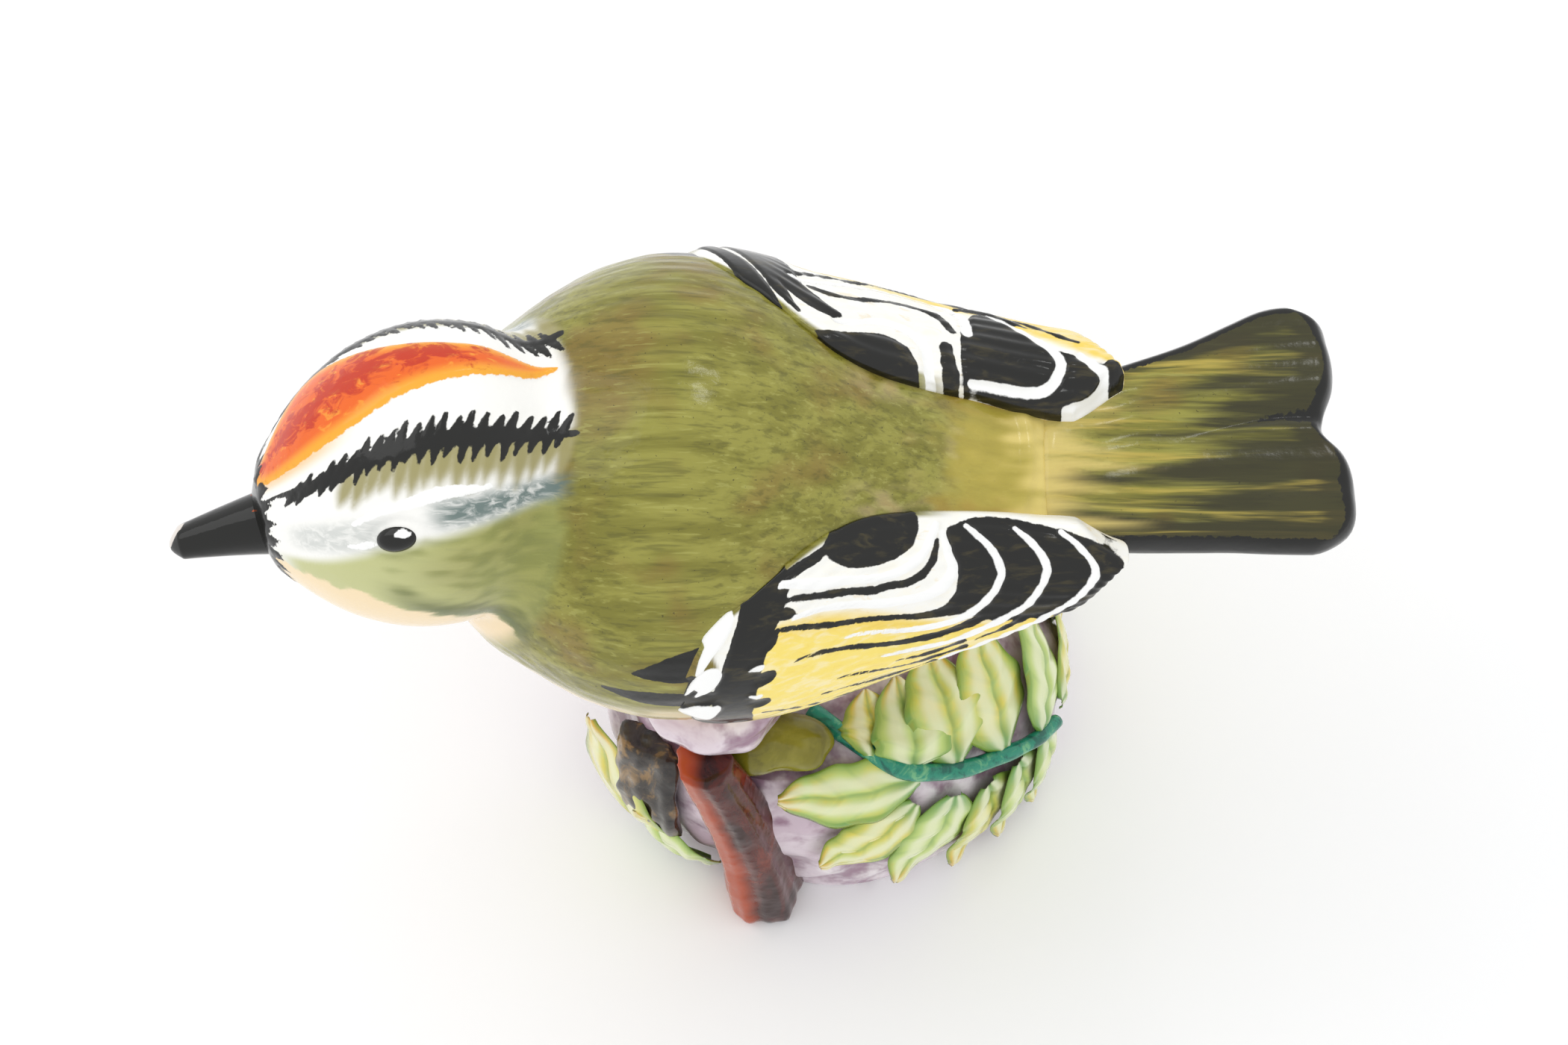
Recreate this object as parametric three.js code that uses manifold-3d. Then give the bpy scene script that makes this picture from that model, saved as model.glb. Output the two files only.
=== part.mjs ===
// Porcelain figurine of a small crested songbird on a leafy rock base.
// The pieces are the ones a potter casts or rolls one by one and lutes together with slip
// before the firing: hollow base, rock perch, branch, hollow body and head, wings, tail, leaves.
// Millimetres, +Z up. The origin is the centre of the flat underside of the base.
// The bird lies along X with its beak towards -X, and its left side faces -Y.

import * as THREE from 'three';
import { mergeVertices } from 'three/addons/utils/BufferGeometryUtils.js';
import Module from 'manifold-3d';

const wasm = await Module();
wasm.setup();

// Clearances and walls
const slipGap = 0.3;
const castWall = 2.8;
const ventDiameter = 3.6;
const bellyVentDiameter = 2.6;
const neckPassage = 3.6;

// Base
const baseLength = 40;
const baseWidth = 37;
const baseHeight = 21;
const baseTopShare = 0.74;
const baseTopShiftX = -4.5;
const baseTopShiftY = -1.5;
const ventX = 9;

// Rock perch on the base
const perchLength = 17.5;
const perchWidth = 23.5;
const perchHeight = 11.5;
const perchX = -10;
const perchY = -2.5;

// Branch that leans against the front of the base
const branchFootRadius = 3.3;
const branchTopRadius = 2.3;
const branchFoot = new THREE.Vector3(-0.1575 * baseLength, -baseWidth / 2 - 0.5, 0);
const branchLean = new THREE.Vector3(-5, 4.2, 27);

// Bark slab and moss cushion
const barkThickness = 2.6;
const mossWidth = 9.6;
const mossDepth = 4.8;
const mossHeight = 4.4;

// Legs and feet
const legLength = 3;
const legDiameter = 2.2;
const legSpread = 8;
const legX = -6;
const toeLength = 4.2;
const toeDiameter = 1.8;

// Bird body
const bodyFront = -34;
const bodyRear = 21;
const bodyWidth = 37.6;
const bodyHeight = 31;
const widestX = -12;
const bodyShift = 0.6;
const tailDrift = 4.4;

// Head, beak and eyes
const headWidth = 23.2;
const headHeight = 23.4;
const headLength = 27;
const headX = -32.7;
const headY = -0.9;
const headAboveBelly = 22;
const headTurn = 10;
const headDroop = 4.5;
const headCock = 20;
const beakLength = 6.9;
const beakThickness = 5;
const beakWidth = 4.8;
const eyeLength = 2.9;
const eyeHeight = 2.2;
const eyeProud = 0.5;
const eyeAlong = 0.4;
const eyeRoll = 61;

// Wings
const wingFront = -15;
const wingTip = 22.2;
const wingSeat = 0.9;
const wingRelief = 0.9;
const wingFlare = 3.6;

// Tail
const tailLength = 19;
const tailRootWidth = 14.4;
const tailEndWidth = 20.4;
const tailThickness = 3.6;
const tailEdgeRound = 1.2;
const tailNotchDepth = 2.2;
const tailTurn = 10;

// Leaves and their stalk
const leafThickness = 1.5;
const leafBed = 0.45;
const stalkDiameter = 1.8;
const leafPatternLength = 40;
const leafPatternWidth = 37;

// Glaze colours
const lilacGlaze = { color: 0xc9b6c2, roughness: 0.16 };
const bodyGlaze = { color: 0x87812f, roughness: 0.12 };
const headGlaze = { color: 0xd9d3b4, roughness: 0.12 };
const blackGlaze = { color: 0x15140f, roughness: 0.1 };
const wingGlaze = { color: 0xd8c878, roughness: 0.12 };
const tailGlaze = { color: 0x5f5a26, roughness: 0.12 };
const branchGlaze = { color: 0x7a3116, roughness: 0.14 };
const barkGlaze = { color: 0x453b30, roughness: 0.18 };
const mossGlaze = { color: 0x7c7631, roughness: 0.2 };
const legGlaze = { color: 0x5a4a3a, roughness: 0.16 };
const leafGlaze = { color: 0xb5cc78, roughness: 0.14 };
const stalkGlaze = { color: 0x1f8570, roughness: 0.14 };

const perchTop = baseHeight + perchHeight;
const bellyLevel = perchTop + legLength;

// A smooth curve through hand-set [position, value] pairs.
function profile(pairs) {
  const positions = pairs.map((pair) => pair[0]);
  const values = pairs.map((pair) => pair[1]);
  const curve = new THREE.CubicInterpolant(positions, values, 1);
  return (position) => curve.evaluate(position)[0];
}

function toManifold(geometry) {
  const bare = geometry.clone();
  bare.deleteAttribute('normal');
  bare.deleteAttribute('uv');
  const merged = mergeVertices(bare, 1e-5);
  const vertProperties = Float32Array.from(merged.attributes.position.array);
  const triVerts = Uint32Array.from(merged.index.array);
  const solid = new wasm.Manifold(new wasm.Mesh({ numProp: 3, vertProperties, triVerts }));
  if (solid.volume() > 0) {
    return solid;
  }
  const flipped = triVerts.slice();
  for (let corner = 0; corner < flipped.length; corner += 3) {
    flipped[corner] = triVerts[corner + 1];
    flipped[corner + 1] = triVerts[corner];
  }
  return new wasm.Manifold(new wasm.Mesh({ numProp: 3, vertProperties, triVerts: flipped }));
}

function toGeometry(solid) {
  const pieces = solid.decompose();
  pieces.sort((one, other) => other.volume() - one.volume());
  const mesh = pieces[0].getMesh();
  const geometry = new THREE.BufferGeometry();
  geometry.setAttribute('position', new THREE.BufferAttribute(mesh.vertProperties, 3));
  geometry.setIndex(new THREE.BufferAttribute(mesh.triVerts, 1));
  geometry.computeVertexNormals();
  return geometry;
}

// A closed round-ended form: a sphere whose every vertex is put in place by a function of
// its share of the way along (0 to 1) and its angle around.
function roundForm(place, around, along) {
  const geometry = new THREE.SphereGeometry(1, around, along);
  const position = geometry.attributes.position;
  for (let index = 0; index < position.count; index += 1) {
    const pole = Math.min(1, Math.max(-1, position.getY(index)));
    const angle = Math.atan2(position.getZ(index), position.getX(index));
    const girth = Math.sqrt(1 - pole * pole);
    const point = place((1 - pole) / 2, angle, girth);
    position.setXYZ(index, point.x, point.y, point.z);
  }
  return toManifold(geometry);
}

// A closed flat-ended form: a cylinder whose every vertex is put in place by a function of
// its share of the height (0 to 1), its angle and its share of the radius (0 to 1).
function flatForm(place, around, along) {
  const geometry = new THREE.CylinderGeometry(1, 1, 1, around, along);
  const position = geometry.attributes.position;
  for (let index = 0; index < position.count; index += 1) {
    const share = position.getY(index) + 0.5;
    const reach = Math.hypot(position.getX(index), position.getZ(index));
    const angle = Math.atan2(position.getZ(index), position.getX(index));
    const point = place(share, angle, reach);
    position.setXYZ(index, point.x, point.y, point.z);
  }
  return toManifold(geometry);
}

function roundRod(from, to, radiusFrom, radiusTo, around) {
  const axis = new THREE.Vector3().subVectors(to, from);
  const geometry = new THREE.CylinderGeometry(radiusTo, radiusFrom, axis.length(), around, 1);
  geometry.translate(0, axis.length() / 2, 0);
  const turn = new THREE.Quaternion().setFromUnitVectors(new THREE.Vector3(0, 1, 0), axis.normalize());
  geometry.applyQuaternion(turn);
  geometry.translate(from.x, from.y, from.z);
  return toManifold(geometry);
}

function block(minimum, maximum) {
  const size = new THREE.Vector3().subVectors(maximum, minimum);
  const geometry = new THREE.BoxGeometry(size.x, size.y, size.z);
  geometry.translate(minimum.x + size.x / 2, minimum.y + size.y / 2, minimum.z + size.z / 2);
  return toManifold(geometry);
}

// ---------- base ----------

const baseSwell = profile([[0, 0.96], [0.12, 1], [0.42, 1], [0.7, 0.93], [1, baseTopShare]]);

function basePoint(share, angle, inset, reach = 1) {
  const rise = share * share;
  const lump = 1 + 0.018 * Math.sin(3 * angle + 4 * share) + 0.012 * Math.sin(7 * angle - 5 * share);
  const along = (baseLength / 2 * baseSwell(share) * lump - inset) * reach;
  const across = (baseWidth / 2 * baseSwell(share) * lump - inset) * reach;
  const x = along * Math.cos(angle) + baseTopShiftX * rise;
  const y = across * Math.sin(angle) + baseTopShiftY * rise;
  return new THREE.Vector3(x, y, baseHeight * share);
}

function branchSolid(grow) {
  const low = branchFoot.clone();
  const high = new THREE.Vector3().addVectors(branchFoot, branchLean);
  const place = (share, angle, reach) => {
    const ribs = 1 + 0.06 * Math.sin(5 * angle) * (1 - 0.5 * share);
    const radius = (THREE.MathUtils.lerp(branchFootRadius, branchTopRadius, share) * ribs + grow) * reach;
    const bow = 0.9 * Math.sin(Math.PI * share);
    const x = THREE.MathUtils.lerp(low.x, high.x, share) + radius * Math.cos(angle) + bow;
    const y = THREE.MathUtils.lerp(low.y, high.y, share) + radius * Math.sin(angle);
    const z = THREE.MathUtils.lerp(low.z - grow, high.z + grow, share);
    return new THREE.Vector3(x, y, z);
  };
  return flatForm(place, 20, 8);
}

function perchSolid() {
  const flare = profile([[0, 0.9], [0.35, 0.94], [0.8, 1.02], [1, 0.97]]);
  const place = (share, angle, reach) => {
    const lump = 1 + 0.03 * Math.sin(4 * angle + 2 * share) + 0.02 * Math.sin(9 * angle);
    const size = flare(share) * lump * reach;
    const x = perchX + perchLength / 2 * size * Math.cos(angle);
    const y = perchY + perchWidth / 2 * size * Math.sin(angle);
    return new THREE.Vector3(x, y, baseHeight + perchHeight * share);
  };
  return flatForm(place, 32, 5);
}

function baseSolid() {
  const outer = flatForm((share, angle, reach) => basePoint(share, angle, 0, reach), 40, 8);
  const hollowFloor = castWall / baseHeight;
  const hollowRoof = 1 - castWall / baseHeight;
  const hollow = flatForm((share, angle, reach) => {
    const height = THREE.MathUtils.lerp(hollowFloor, hollowRoof, share);
    return basePoint(height, angle, castWall, reach);
  }, 24, 4);
  const ventTop = new THREE.Vector3(ventX, 0, castWall * 2);
  const vent = roundRod(new THREE.Vector3(ventX, 0, -1), ventTop, ventDiameter / 2, ventDiameter / 2, 24);
  const branchRoom = branchSolid(slipGap + castWall);
  return outer.subtract(hollow.subtract(branchRoom)).subtract(vent).subtract(branchSolid(slipGap));
}

// ---------- bird body ----------

const girthAlong = profile([
  [bodyFront, 0], [-33, 0.26], [-31, 0.43], [-28, 0.63], [-24, 0.79], [-19.6, 0.93], [-15.5, 0.99],
  [widestX, 1], [-6, 0.94], [-2.7, 0.87], [3.6, 0.72], [9.9, 0.58], [15.5, 0.47], [19.3, 0.42], [26, 0.38],
]);
const topAlong = profile([
  [bodyFront, 0.4], [-33, 0.53], [-31, 0.66], [-28, 0.81], [-24, 0.92], [-19.6, 0.98], [-15.5, 1],
  [widestX, 1], [-6, 0.945], [-2.7, 0.89], [3.6, 0.775], [9.9, 0.665], [15.5, 0.6], [19.3, 0.58], [26, 0.565],
]);
const bottomAlong = profile([
  [bodyFront, 0.4], [-33, 0.27], [-31, 0.16], [-28, 0.075], [-24, 0.025], [-19.6, 0.003], [-15.5, 0],
  [widestX, 0], [-6, 0.006], [-2.7, 0.02], [3.6, 0.1], [9.9, 0.21], [15.5, 0.32], [19.3, 0.395], [26, 0.44],
]);

function spineY(x) {
  const beyond = Math.max(0, x - widestX);
  const reach = bodyRear + tailLength - widestX;
  return bodyShift + tailDrift * (beyond / reach) ** 2;
}

// A point of the skin of the body: roll is 0 on top and a quarter turn on the bird's left side.
function bodyPoint(x, roll, outward) {
  const halfWidth = Math.max(0, bodyWidth / 2 * girthAlong(x) + outward);
  const top = bodyHeight * topAlong(x);
  const bottom = bodyHeight * bottomAlong(x);
  const middle = (top + bottom) / 2;
  const halfHeight = Math.max(0, (top - bottom) / 2 + outward);
  const y = spineY(x) - halfWidth * Math.sin(roll);
  return new THREE.Vector3(x, y, bellyLevel + middle + halfHeight * Math.cos(roll));
}

function bodyForm(inset, around, along) {
  const start = bodyFront + inset;
  const end = bodyRear + 4 - inset;
  const place = (share, angle, girth) => {
    const x = THREE.MathUtils.lerp(start, end, share);
    const skin = bodyPoint(x, angle, -inset);
    const axis = bodyPoint(x, 0, 0).add(bodyPoint(x, Math.PI, 0)).multiplyScalar(0.5);
    const tuck = Math.min(1, girth * 2.5);
    return axis.lerp(skin, tuck);
  };
  return roundForm(place, around, along);
}

// ---------- head ----------

function headFrame() {
  const turn = new THREE.Matrix4().makeRotationZ(THREE.MathUtils.degToRad(headTurn));
  const droop = new THREE.Matrix4().makeRotationY(THREE.MathUtils.degToRad(-headDroop));
  const cock = new THREE.Matrix4().makeRotationX(THREE.MathUtils.degToRad(-headCock));
  const seat = new THREE.Matrix4().makeTranslation(headX, headY, bellyLevel + headAboveBelly);
  return seat.multiply(turn).multiply(droop).multiply(cock);
}

const headGirth = profile([
  [0, 0.2], [0.05, 0.36], [0.12, 0.55], [0.2, 0.72], [0.34, 0.91], [0.5, 1], [0.66, 0.97], [0.82, 0.8],
  [0.93, 0.52], [1, 0.3],
]);

function headPoint(share, roll, outward) {
  const x = THREE.MathUtils.lerp(-headLength / 2 - outward, headLength / 2 + outward, share);
  const y = -(headWidth / 2 * headGirth(share) + outward) * Math.sin(roll);
  const chin = 1.4 * (1 - share) ** 2;
  const z = (headHeight / 2 * headGirth(share) + outward) * Math.cos(roll) - chin;
  return new THREE.Vector3(x, y, z);
}

function headForm(grow, around, along) {
  const frame = headFrame();
  const place = (share, angle, girth) => {
    const skin = headPoint(share, angle, grow);
    const axis = headPoint(share, 0, 0).add(headPoint(share, Math.PI, 0)).multiplyScalar(0.5);
    axis.x = skin.x;
    const tuck = Math.min(1, girth * 2.2);
    return axis.lerp(skin, tuck).applyMatrix4(frame);
  };
  return roundForm(place, around, along);
}

function neckRod() {
  const frame = headFrame();
  const from = new THREE.Vector3(1, 0, -1).applyMatrix4(frame);
  const to = bodyPoint(widestX, 0, -bodyHeight / 2);
  return roundRod(from, to, neckPassage / 2, neckPassage / 2, 20);
}

function beakSolid(grow) {
  const frame = headFrame();
  const root = -headLength / 2 + 0.6;
  const place = (share, angle, reach) => {
    const taper = (1 - share) ** 0.75 * 0.9 + 0.1;
    const x = root - slipGap - beakLength * share;
    const y = (beakWidth / 2 * taper + grow) * Math.cos(angle) * reach;
    const z = (beakThickness / 2 * taper + grow) * Math.sin(angle) * reach - 1.5 - 0.5 * share;
    return new THREE.Vector3(x, y, z).applyMatrix4(frame);
  };
  return flatForm(place, 16, 6);
}

function eyeSolid(side, grow) {
  const frame = headFrame();
  const roll = THREE.MathUtils.degToRad(eyeRoll) * side;
  const seat = headPoint(eyeAlong, roll, 0);
  const outward = new THREE.Vector3().subVectors(headPoint(eyeAlong, roll, 1), seat).normalize();
  const turn = new THREE.Quaternion().setFromUnitVectors(new THREE.Vector3(0, 1, 0), outward);
  const geometry = new THREE.SphereGeometry(1, 12, 8);
  geometry.scale(eyeLength / 2 + grow, eyeProud * 2 + grow, eyeHeight / 2 + grow);
  geometry.applyQuaternion(turn);
  geometry.translate(seat.x - outward.x * eyeProud, seat.y - outward.y * eyeProud, seat.z - outward.z * eyeProud);
  geometry.applyMatrix4(frame);
  return toManifold(geometry);
}

// ---------- wings ----------

const wingUpperEdge = profile([
  [0, 86], [0.1, 62], [0.24, 42], [0.42, 26], [0.6, 24], [0.8, 30], [0.92, 40], [1, 60],
]);
const wingLowerEdge = profile([
  [0, 90], [0.1, 104], [0.24, 112], [0.6, 112], [0.8, 106], [0.92, 92], [1, 70],
]);

function wingForm(side, grow) {
  const start = wingFront - grow;
  const end = wingTip + grow;
  const place = (share, angle, girth) => {
    const x = THREE.MathUtils.lerp(start, end, share);
    const upper = wingUpperEdge(share);
    const lower = wingLowerEdge(share);
    const middle = (upper + lower) / 2;
    const halfSpan = (lower - upper) / 2 + grow * 3;
    const roll = THREE.MathUtils.degToRad(middle + halfSpan * Math.cos(angle) * Math.min(1, girth * 1.8));
    const flare = wingRelief + wingFlare * share ** 1.4 * (0.4 + 0.6 * Math.sin(roll));
    const thick = (flare + wingSeat) / 2 + grow;
    const outward = (flare - wingSeat) / 2 + thick * Math.sin(angle) * Math.min(1, girth * 1.6);
    return bodyPoint(x, roll * side, outward);
  };
  return roundForm(place, 20, 14);
}

// ---------- tail ----------

function tailForm(grow) {
  const half = tailRootWidth / 2 - tailEdgeRound + grow;
  const halfEnd = tailEndWidth / 2 - tailEdgeRound + grow;
  const reach = tailLength - tailEdgeRound + grow;
  const lobe = halfEnd / 2;
  const outline = new THREE.Shape();
  outline.moveTo(-tailEdgeRound * 3, -half);
  outline.lineTo(reach - lobe, -halfEnd);
  outline.absarc(reach - lobe, -lobe, lobe, -Math.PI / 2, Math.PI / 3, false);
  outline.lineTo(reach - tailNotchDepth, 0);
  outline.absarc(reach - lobe, lobe, lobe, -Math.PI / 3, Math.PI / 2, false);
  outline.lineTo(-tailEdgeRound * 3, half);
  const core = tailThickness - 2 * tailEdgeRound;
  const geometry = new THREE.ExtrudeGeometry(outline, {
    depth: core + 2 * grow,
    bevelEnabled: true,
    bevelThickness: tailEdgeRound,
    bevelSize: tailEdgeRound,
    bevelSegments: 3,
    curveSegments: 10,
  });
  geometry.translate(0, 0, -core / 2 - grow);
  geometry.rotateZ(THREE.MathUtils.degToRad(tailTurn));
  const seat = bodyPoint(bodyRear, 0, 0);
  geometry.translate(bodyRear + slipGap, spineY(bodyRear), seat.z - tailThickness / 2 - 0.3);
  const kept = block(new THREE.Vector3(bodyRear + slipGap, -60, 0), new THREE.Vector3(90, 60, 140));
  return toManifold(geometry).intersect(kept);
}

// ---------- leaves ----------

const leafHeart = new THREE.Vector3(-2, -1, 5);

// A spot on the base: [angle round it in degrees, height, share of the way out from its axis].
function baseSpot(spot) {
  return basePoint(spot[1] / baseHeight, THREE.MathUtils.degToRad(spot[0]), 0, spot[2]);
}

function leafForm(leaf, grow) {
  const midrib = new THREE.CatmullRomCurve3(leaf.spots.map(baseSpot));
  const crowding = Math.min(1, baseLength / leafPatternLength, baseWidth / leafPatternWidth);
  const place = (share, angle, girth) => {
    const point = midrib.getPoint(share);
    const along = midrib.getTangent(share);
    const outward = new THREE.Vector3().subVectors(point, leafHeart).normalize();
    const side = new THREE.Vector3().crossVectors(along, outward).normalize();
    const normal = new THREE.Vector3().crossVectors(side, along).normalize();
    const width = leaf.width * crowding / 2 * Math.sin(Math.PI * share ** 0.85) ** 0.7 + grow;
    const thick = leafThickness / 2 + grow;
    const soft = Math.min(1, girth * 3);
    point.addScaledVector(side, width * Math.cos(angle) * soft);
    return point.addScaledVector(normal, thick * (Math.sin(angle) * Math.sqrt(soft) + 1) + leafBed);
  };
  return roundForm(place, 8, 10);
}

// Each leaf lies on the base. Its three spots are its root, middle and tip; width is across.
const leaves = [
  { name: 'big_front_leaf', width: 5.0, spots: [[-56, 16.6, 1.0], [-76, 17.6, 1.03], [-96, 18.4, 1.0]] },
  { name: 'front_leaflet_1', width: 4.0, spots: [[-59, 14.0, 1.0], [-77, 12.0, 1.02], [-91, 10.2, 1.0]] },
  { name: 'front_leaflet_2', width: 4.0, spots: [[-50, 12.8, 1.0], [-62, 8.8, 1.02], [-76, 5.2, 1.0]] },
  { name: 'front_leaflet_3', width: 4.0, spots: [[-41, 11.4, 1.0], [-48, 6.2, 1.02], [-60, 2.0, 1.0]] },
  { name: 'front_leaflet_4', width: 3.8, spots: [[-31, 10.0, 1.0], [-37, 5.2, 1.02], [-47, 1.8, 1.0]] },
  { name: 'side_leaflet_1', width: 3.4, spots: [[-22, 8.6, 1.0], [-26, 4.6, 1.02], [-34, 1.6, 1.0]] },
  { name: 'upper_leaflet_1', width: 3.0, spots: [[-57, 21.0, 0.98], [-52, 21.4, 0.82], [-45, 21.3, 0.56]] },
  { name: 'upper_leaflet_2', width: 3.4, spots: [[-44, 20.6, 1.0], [-34, 21.6, 0.9], [-20, 21.6, 0.72]] },
  { name: 'upper_leaflet_3', width: 4.4, spots: [[-38, 18.6, 1.0], [-26, 20.2, 1.06], [-13, 21.6, 0.96]] },
  { name: 'upper_leaflet_4', width: 4.8, spots: [[-27, 15.6, 1.0], [-12, 17.6, 1.07], [3, 18.6, 1.08]] },
  { name: 'upper_leaflet_5', width: 4.4, spots: [[-17, 12.6, 1.0], [-3, 12.8, 1.03], [10, 14.6, 1.06]] },
  { name: 'side_leaflet_2', width: 3.6, spots: [[-9, 8.2, 1.0], [3, 6.8, 1.03], [14, 6.4, 1.02]] },
  { name: 'back_leaflet_1', width: 5.4, spots: [[22, 2.2, 1.0], [24, 9.4, 1.06], [28, 16.4, 1.08]] },
  { name: 'back_leaflet_2', width: 5.6, spots: [[44, 2.2, 1.0], [45, 9.4, 1.06], [48, 17.4, 1.08]] },
  { name: 'left_tall_leaf', width: 4.4, spots: [[-141, 2.0, 1.02], [-157, 9.5, 1.04], [-165, 17.4, 1.04]] },
  { name: 'left_low_leaf', width: 3.0, spots: [[-125, 2.0, 1.0], [-130, 4.4, 1.02], [-135, 6.8, 1.02]] },
  { name: 'rear_left_leaf', width: 6.0, spots: [[150, 2.0, 1.0], [144, 9.0, 1.03], [134, 16.5, 1.02]] },
];

const stalkSpots = [[-57, 19.8], [-44, 17.0], [-32, 14.0], [-24, 11.8], [-16, 9.6]];

function stalkForm(grow) {
  const bed = leafBed + stalkDiameter / 2;
  const path = stalkSpots.map(([angle, height]) => {
    const turn = THREE.MathUtils.degToRad(angle);
    return basePoint(height / baseHeight, turn, -bed);
  });
  const section = new THREE.Shape();
  section.absarc(0, 0, stalkDiameter / 2 + grow, 0, Math.PI * 2, false);
  const geometry = new THREE.ExtrudeGeometry(section, {
    steps: 28,
    curveSegments: 4,
    extrudePath: new THREE.CatmullRomCurve3(path),
  });
  return toManifold(geometry);
}

// A weathered slab of bark on the left flank between the tall leaf and the branch.
function barkForm() {
  const fromAngle = THREE.MathUtils.degToRad(-148);
  const toAngle = THREE.MathUtils.degToRad(-127);
  const place = (share, angle, reach) => {
    const height = THREE.MathUtils.lerp(8.8, baseHeight - 0.8, share) / baseHeight;
    const middle = (fromAngle + toAngle) / 2;
    const spread = (toAngle - fromAngle) / 2;
    const around = middle + spread * Math.cos(angle) * reach;
    const ribs = 0.35 * Math.sin(9 * around);
    const out = leafBed + barkThickness / 2 + (barkThickness / 2 + ribs) * Math.sin(angle) * reach;
    return basePoint(height, around, -out);
  };
  return flatForm(place, 20, 4);
}

// A rounded moss cushion on the front shoulder of the base, beside the rock perch.
function mossForm(grow) {
  const place = (share, angle, girth) => {
    const x = (mossWidth / 2 + grow) * girth * Math.cos(angle);
    const y = (mossDepth / 2 + grow) * girth * Math.sin(angle);
    const z = mossHeight / 2 + (mossHeight / 2 + grow) * (1 - 2 * share);
    return new THREE.Vector3(x, y, z);
  };
  const cushion = roundForm(place, 16, 8);
  const x = perchX + perchLength / 2 - 3.1;
  const y = perchY - perchWidth / 2 + 2.4;
  return cushion.translate([x, y, baseHeight + slipGap]);
}

// ---------- legs and feet ----------

function footSolid(side) {
  const ankle = new THREE.Vector3(legX, -side * legSpread / 2, perchTop + toeDiameter / 2 + slipGap);
  const directions = [160, 180, 200, 0];
  let foot = null;
  directions.forEach((degrees) => {
    const heading = THREE.MathUtils.degToRad(degrees);
    const reach = toeLength - toeDiameter;
    const geometry = new THREE.CapsuleGeometry(toeDiameter / 2, reach, 3, 10);
    geometry.rotateZ(Math.PI / 2);
    geometry.translate(reach / 2, 0, 0);
    geometry.rotateZ(heading);
    geometry.translate(ankle.x, ankle.y, ankle.z);
    const toe = toManifold(geometry);
    foot = foot ? foot.add(toe) : toe;
  });
  return foot;
}

function legSolid(side) {
  const y = -side * legSpread / 2;
  const low = new THREE.Vector3(legX, y, perchTop + slipGap + toeDiameter);
  const high = new THREE.Vector3(legX, y, bellyLevel + bodyHeight / 5);
  return roundRod(low, high, legDiameter / 2, legDiameter / 2 * 1.25, 14);
}

// ---------- assembly ----------

const figurine = new THREE.Group();
figurine.name = 'porcelain_songbird';

function addPiece(name, solid, glaze) {
  const material = new THREE.MeshStandardMaterial({ ...glaze, metalness: 0 });
  const mesh = new THREE.Mesh(toGeometry(solid), material);
  mesh.name = name;
  figurine.add(mesh);
}

const perchBlock = perchSolid();
const leftWing = wingForm(1, 0);
const rightWing = wingForm(-1, 0);
const wingRoom = wingForm(1, slipGap).add(wingForm(-1, slipGap));
const headRoom = headForm(slipGap, 28, 18);
const headWallRoom = headForm(slipGap + castWall, 16, 10);
const eyesRoom = eyeSolid(1, slipGap).add(eyeSolid(-1, slipGap));
const rearRoom = block(new THREE.Vector3(bodyRear, -40, 0), new THREE.Vector3(80, 40, 120));
const rearWallRoom = block(new THREE.Vector3(bodyRear - castWall, -40, 0), new THREE.Vector3(80, 40, 120));
const bodyCavity = bodyForm(castWall, 16, 12).subtract(headWallRoom).subtract(rearWallRoom);
const ventLow = new THREE.Vector3(1, 0, bellyLevel - 2);
const ventHigh = new THREE.Vector3(1, 0, bellyLevel + bodyHeight / 2);
const bellyVent = roundRod(ventLow, ventHigh, bellyVentDiameter / 2, bellyVentDiameter / 2, 16);
const body = bodyForm(0, 32, 26).subtract(bodyCavity).subtract(headRoom).subtract(wingRoom)
  .subtract(rearRoom).subtract(bellyVent).subtract(neckRod());
const head = headForm(0, 28, 20).subtract(headForm(-castWall, 14, 10)).subtract(neckRod())
  .subtract(eyesRoom).subtract(beakSolid(slipGap));

addPiece('base', baseSolid(), lilacGlaze);
addPiece('rock_perch', perchBlock.subtract(branchSolid(slipGap)).subtract(mossForm(slipGap)), lilacGlaze);
addPiece('branch', branchSolid(0), branchGlaze);
addPiece('bird_body', body, bodyGlaze);
addPiece('bird_head', head, headGlaze);
addPiece('beak', beakSolid(0), blackGlaze);
addPiece('left_eye', eyeSolid(1, 0), blackGlaze);
addPiece('right_eye', eyeSolid(-1, 0), blackGlaze);
addPiece('left_wing', leftWing, wingGlaze);
addPiece('right_wing', rightWing, wingGlaze);
addPiece('tail', tailForm(0).subtract(wingRoom), tailGlaze);
addPiece('left_leg', legSolid(1).subtract(bodyForm(-slipGap, 32, 26)), legGlaze);
addPiece('right_leg', legSolid(-1).subtract(bodyForm(-slipGap, 32, 26)), legGlaze);
addPiece('left_foot', footSolid(1), legGlaze);
addPiece('right_foot', footSolid(-1), legGlaze);
addPiece('bark_slab', barkForm(), barkGlaze);
addPiece('moss_cushion', mossForm(0), mossGlaze);
addPiece('leaf_stalk', stalkForm(0), stalkGlaze);
leaves.forEach((leaf) => {
  addPiece(leaf.name, leafForm(leaf, 0).subtract(stalkForm(slipGap)), leafGlaze);
});

export default figurine;
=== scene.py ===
"""A porcelain songbird figurine: the fired, painted and glazed surfaces on the CAD model."""

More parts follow.
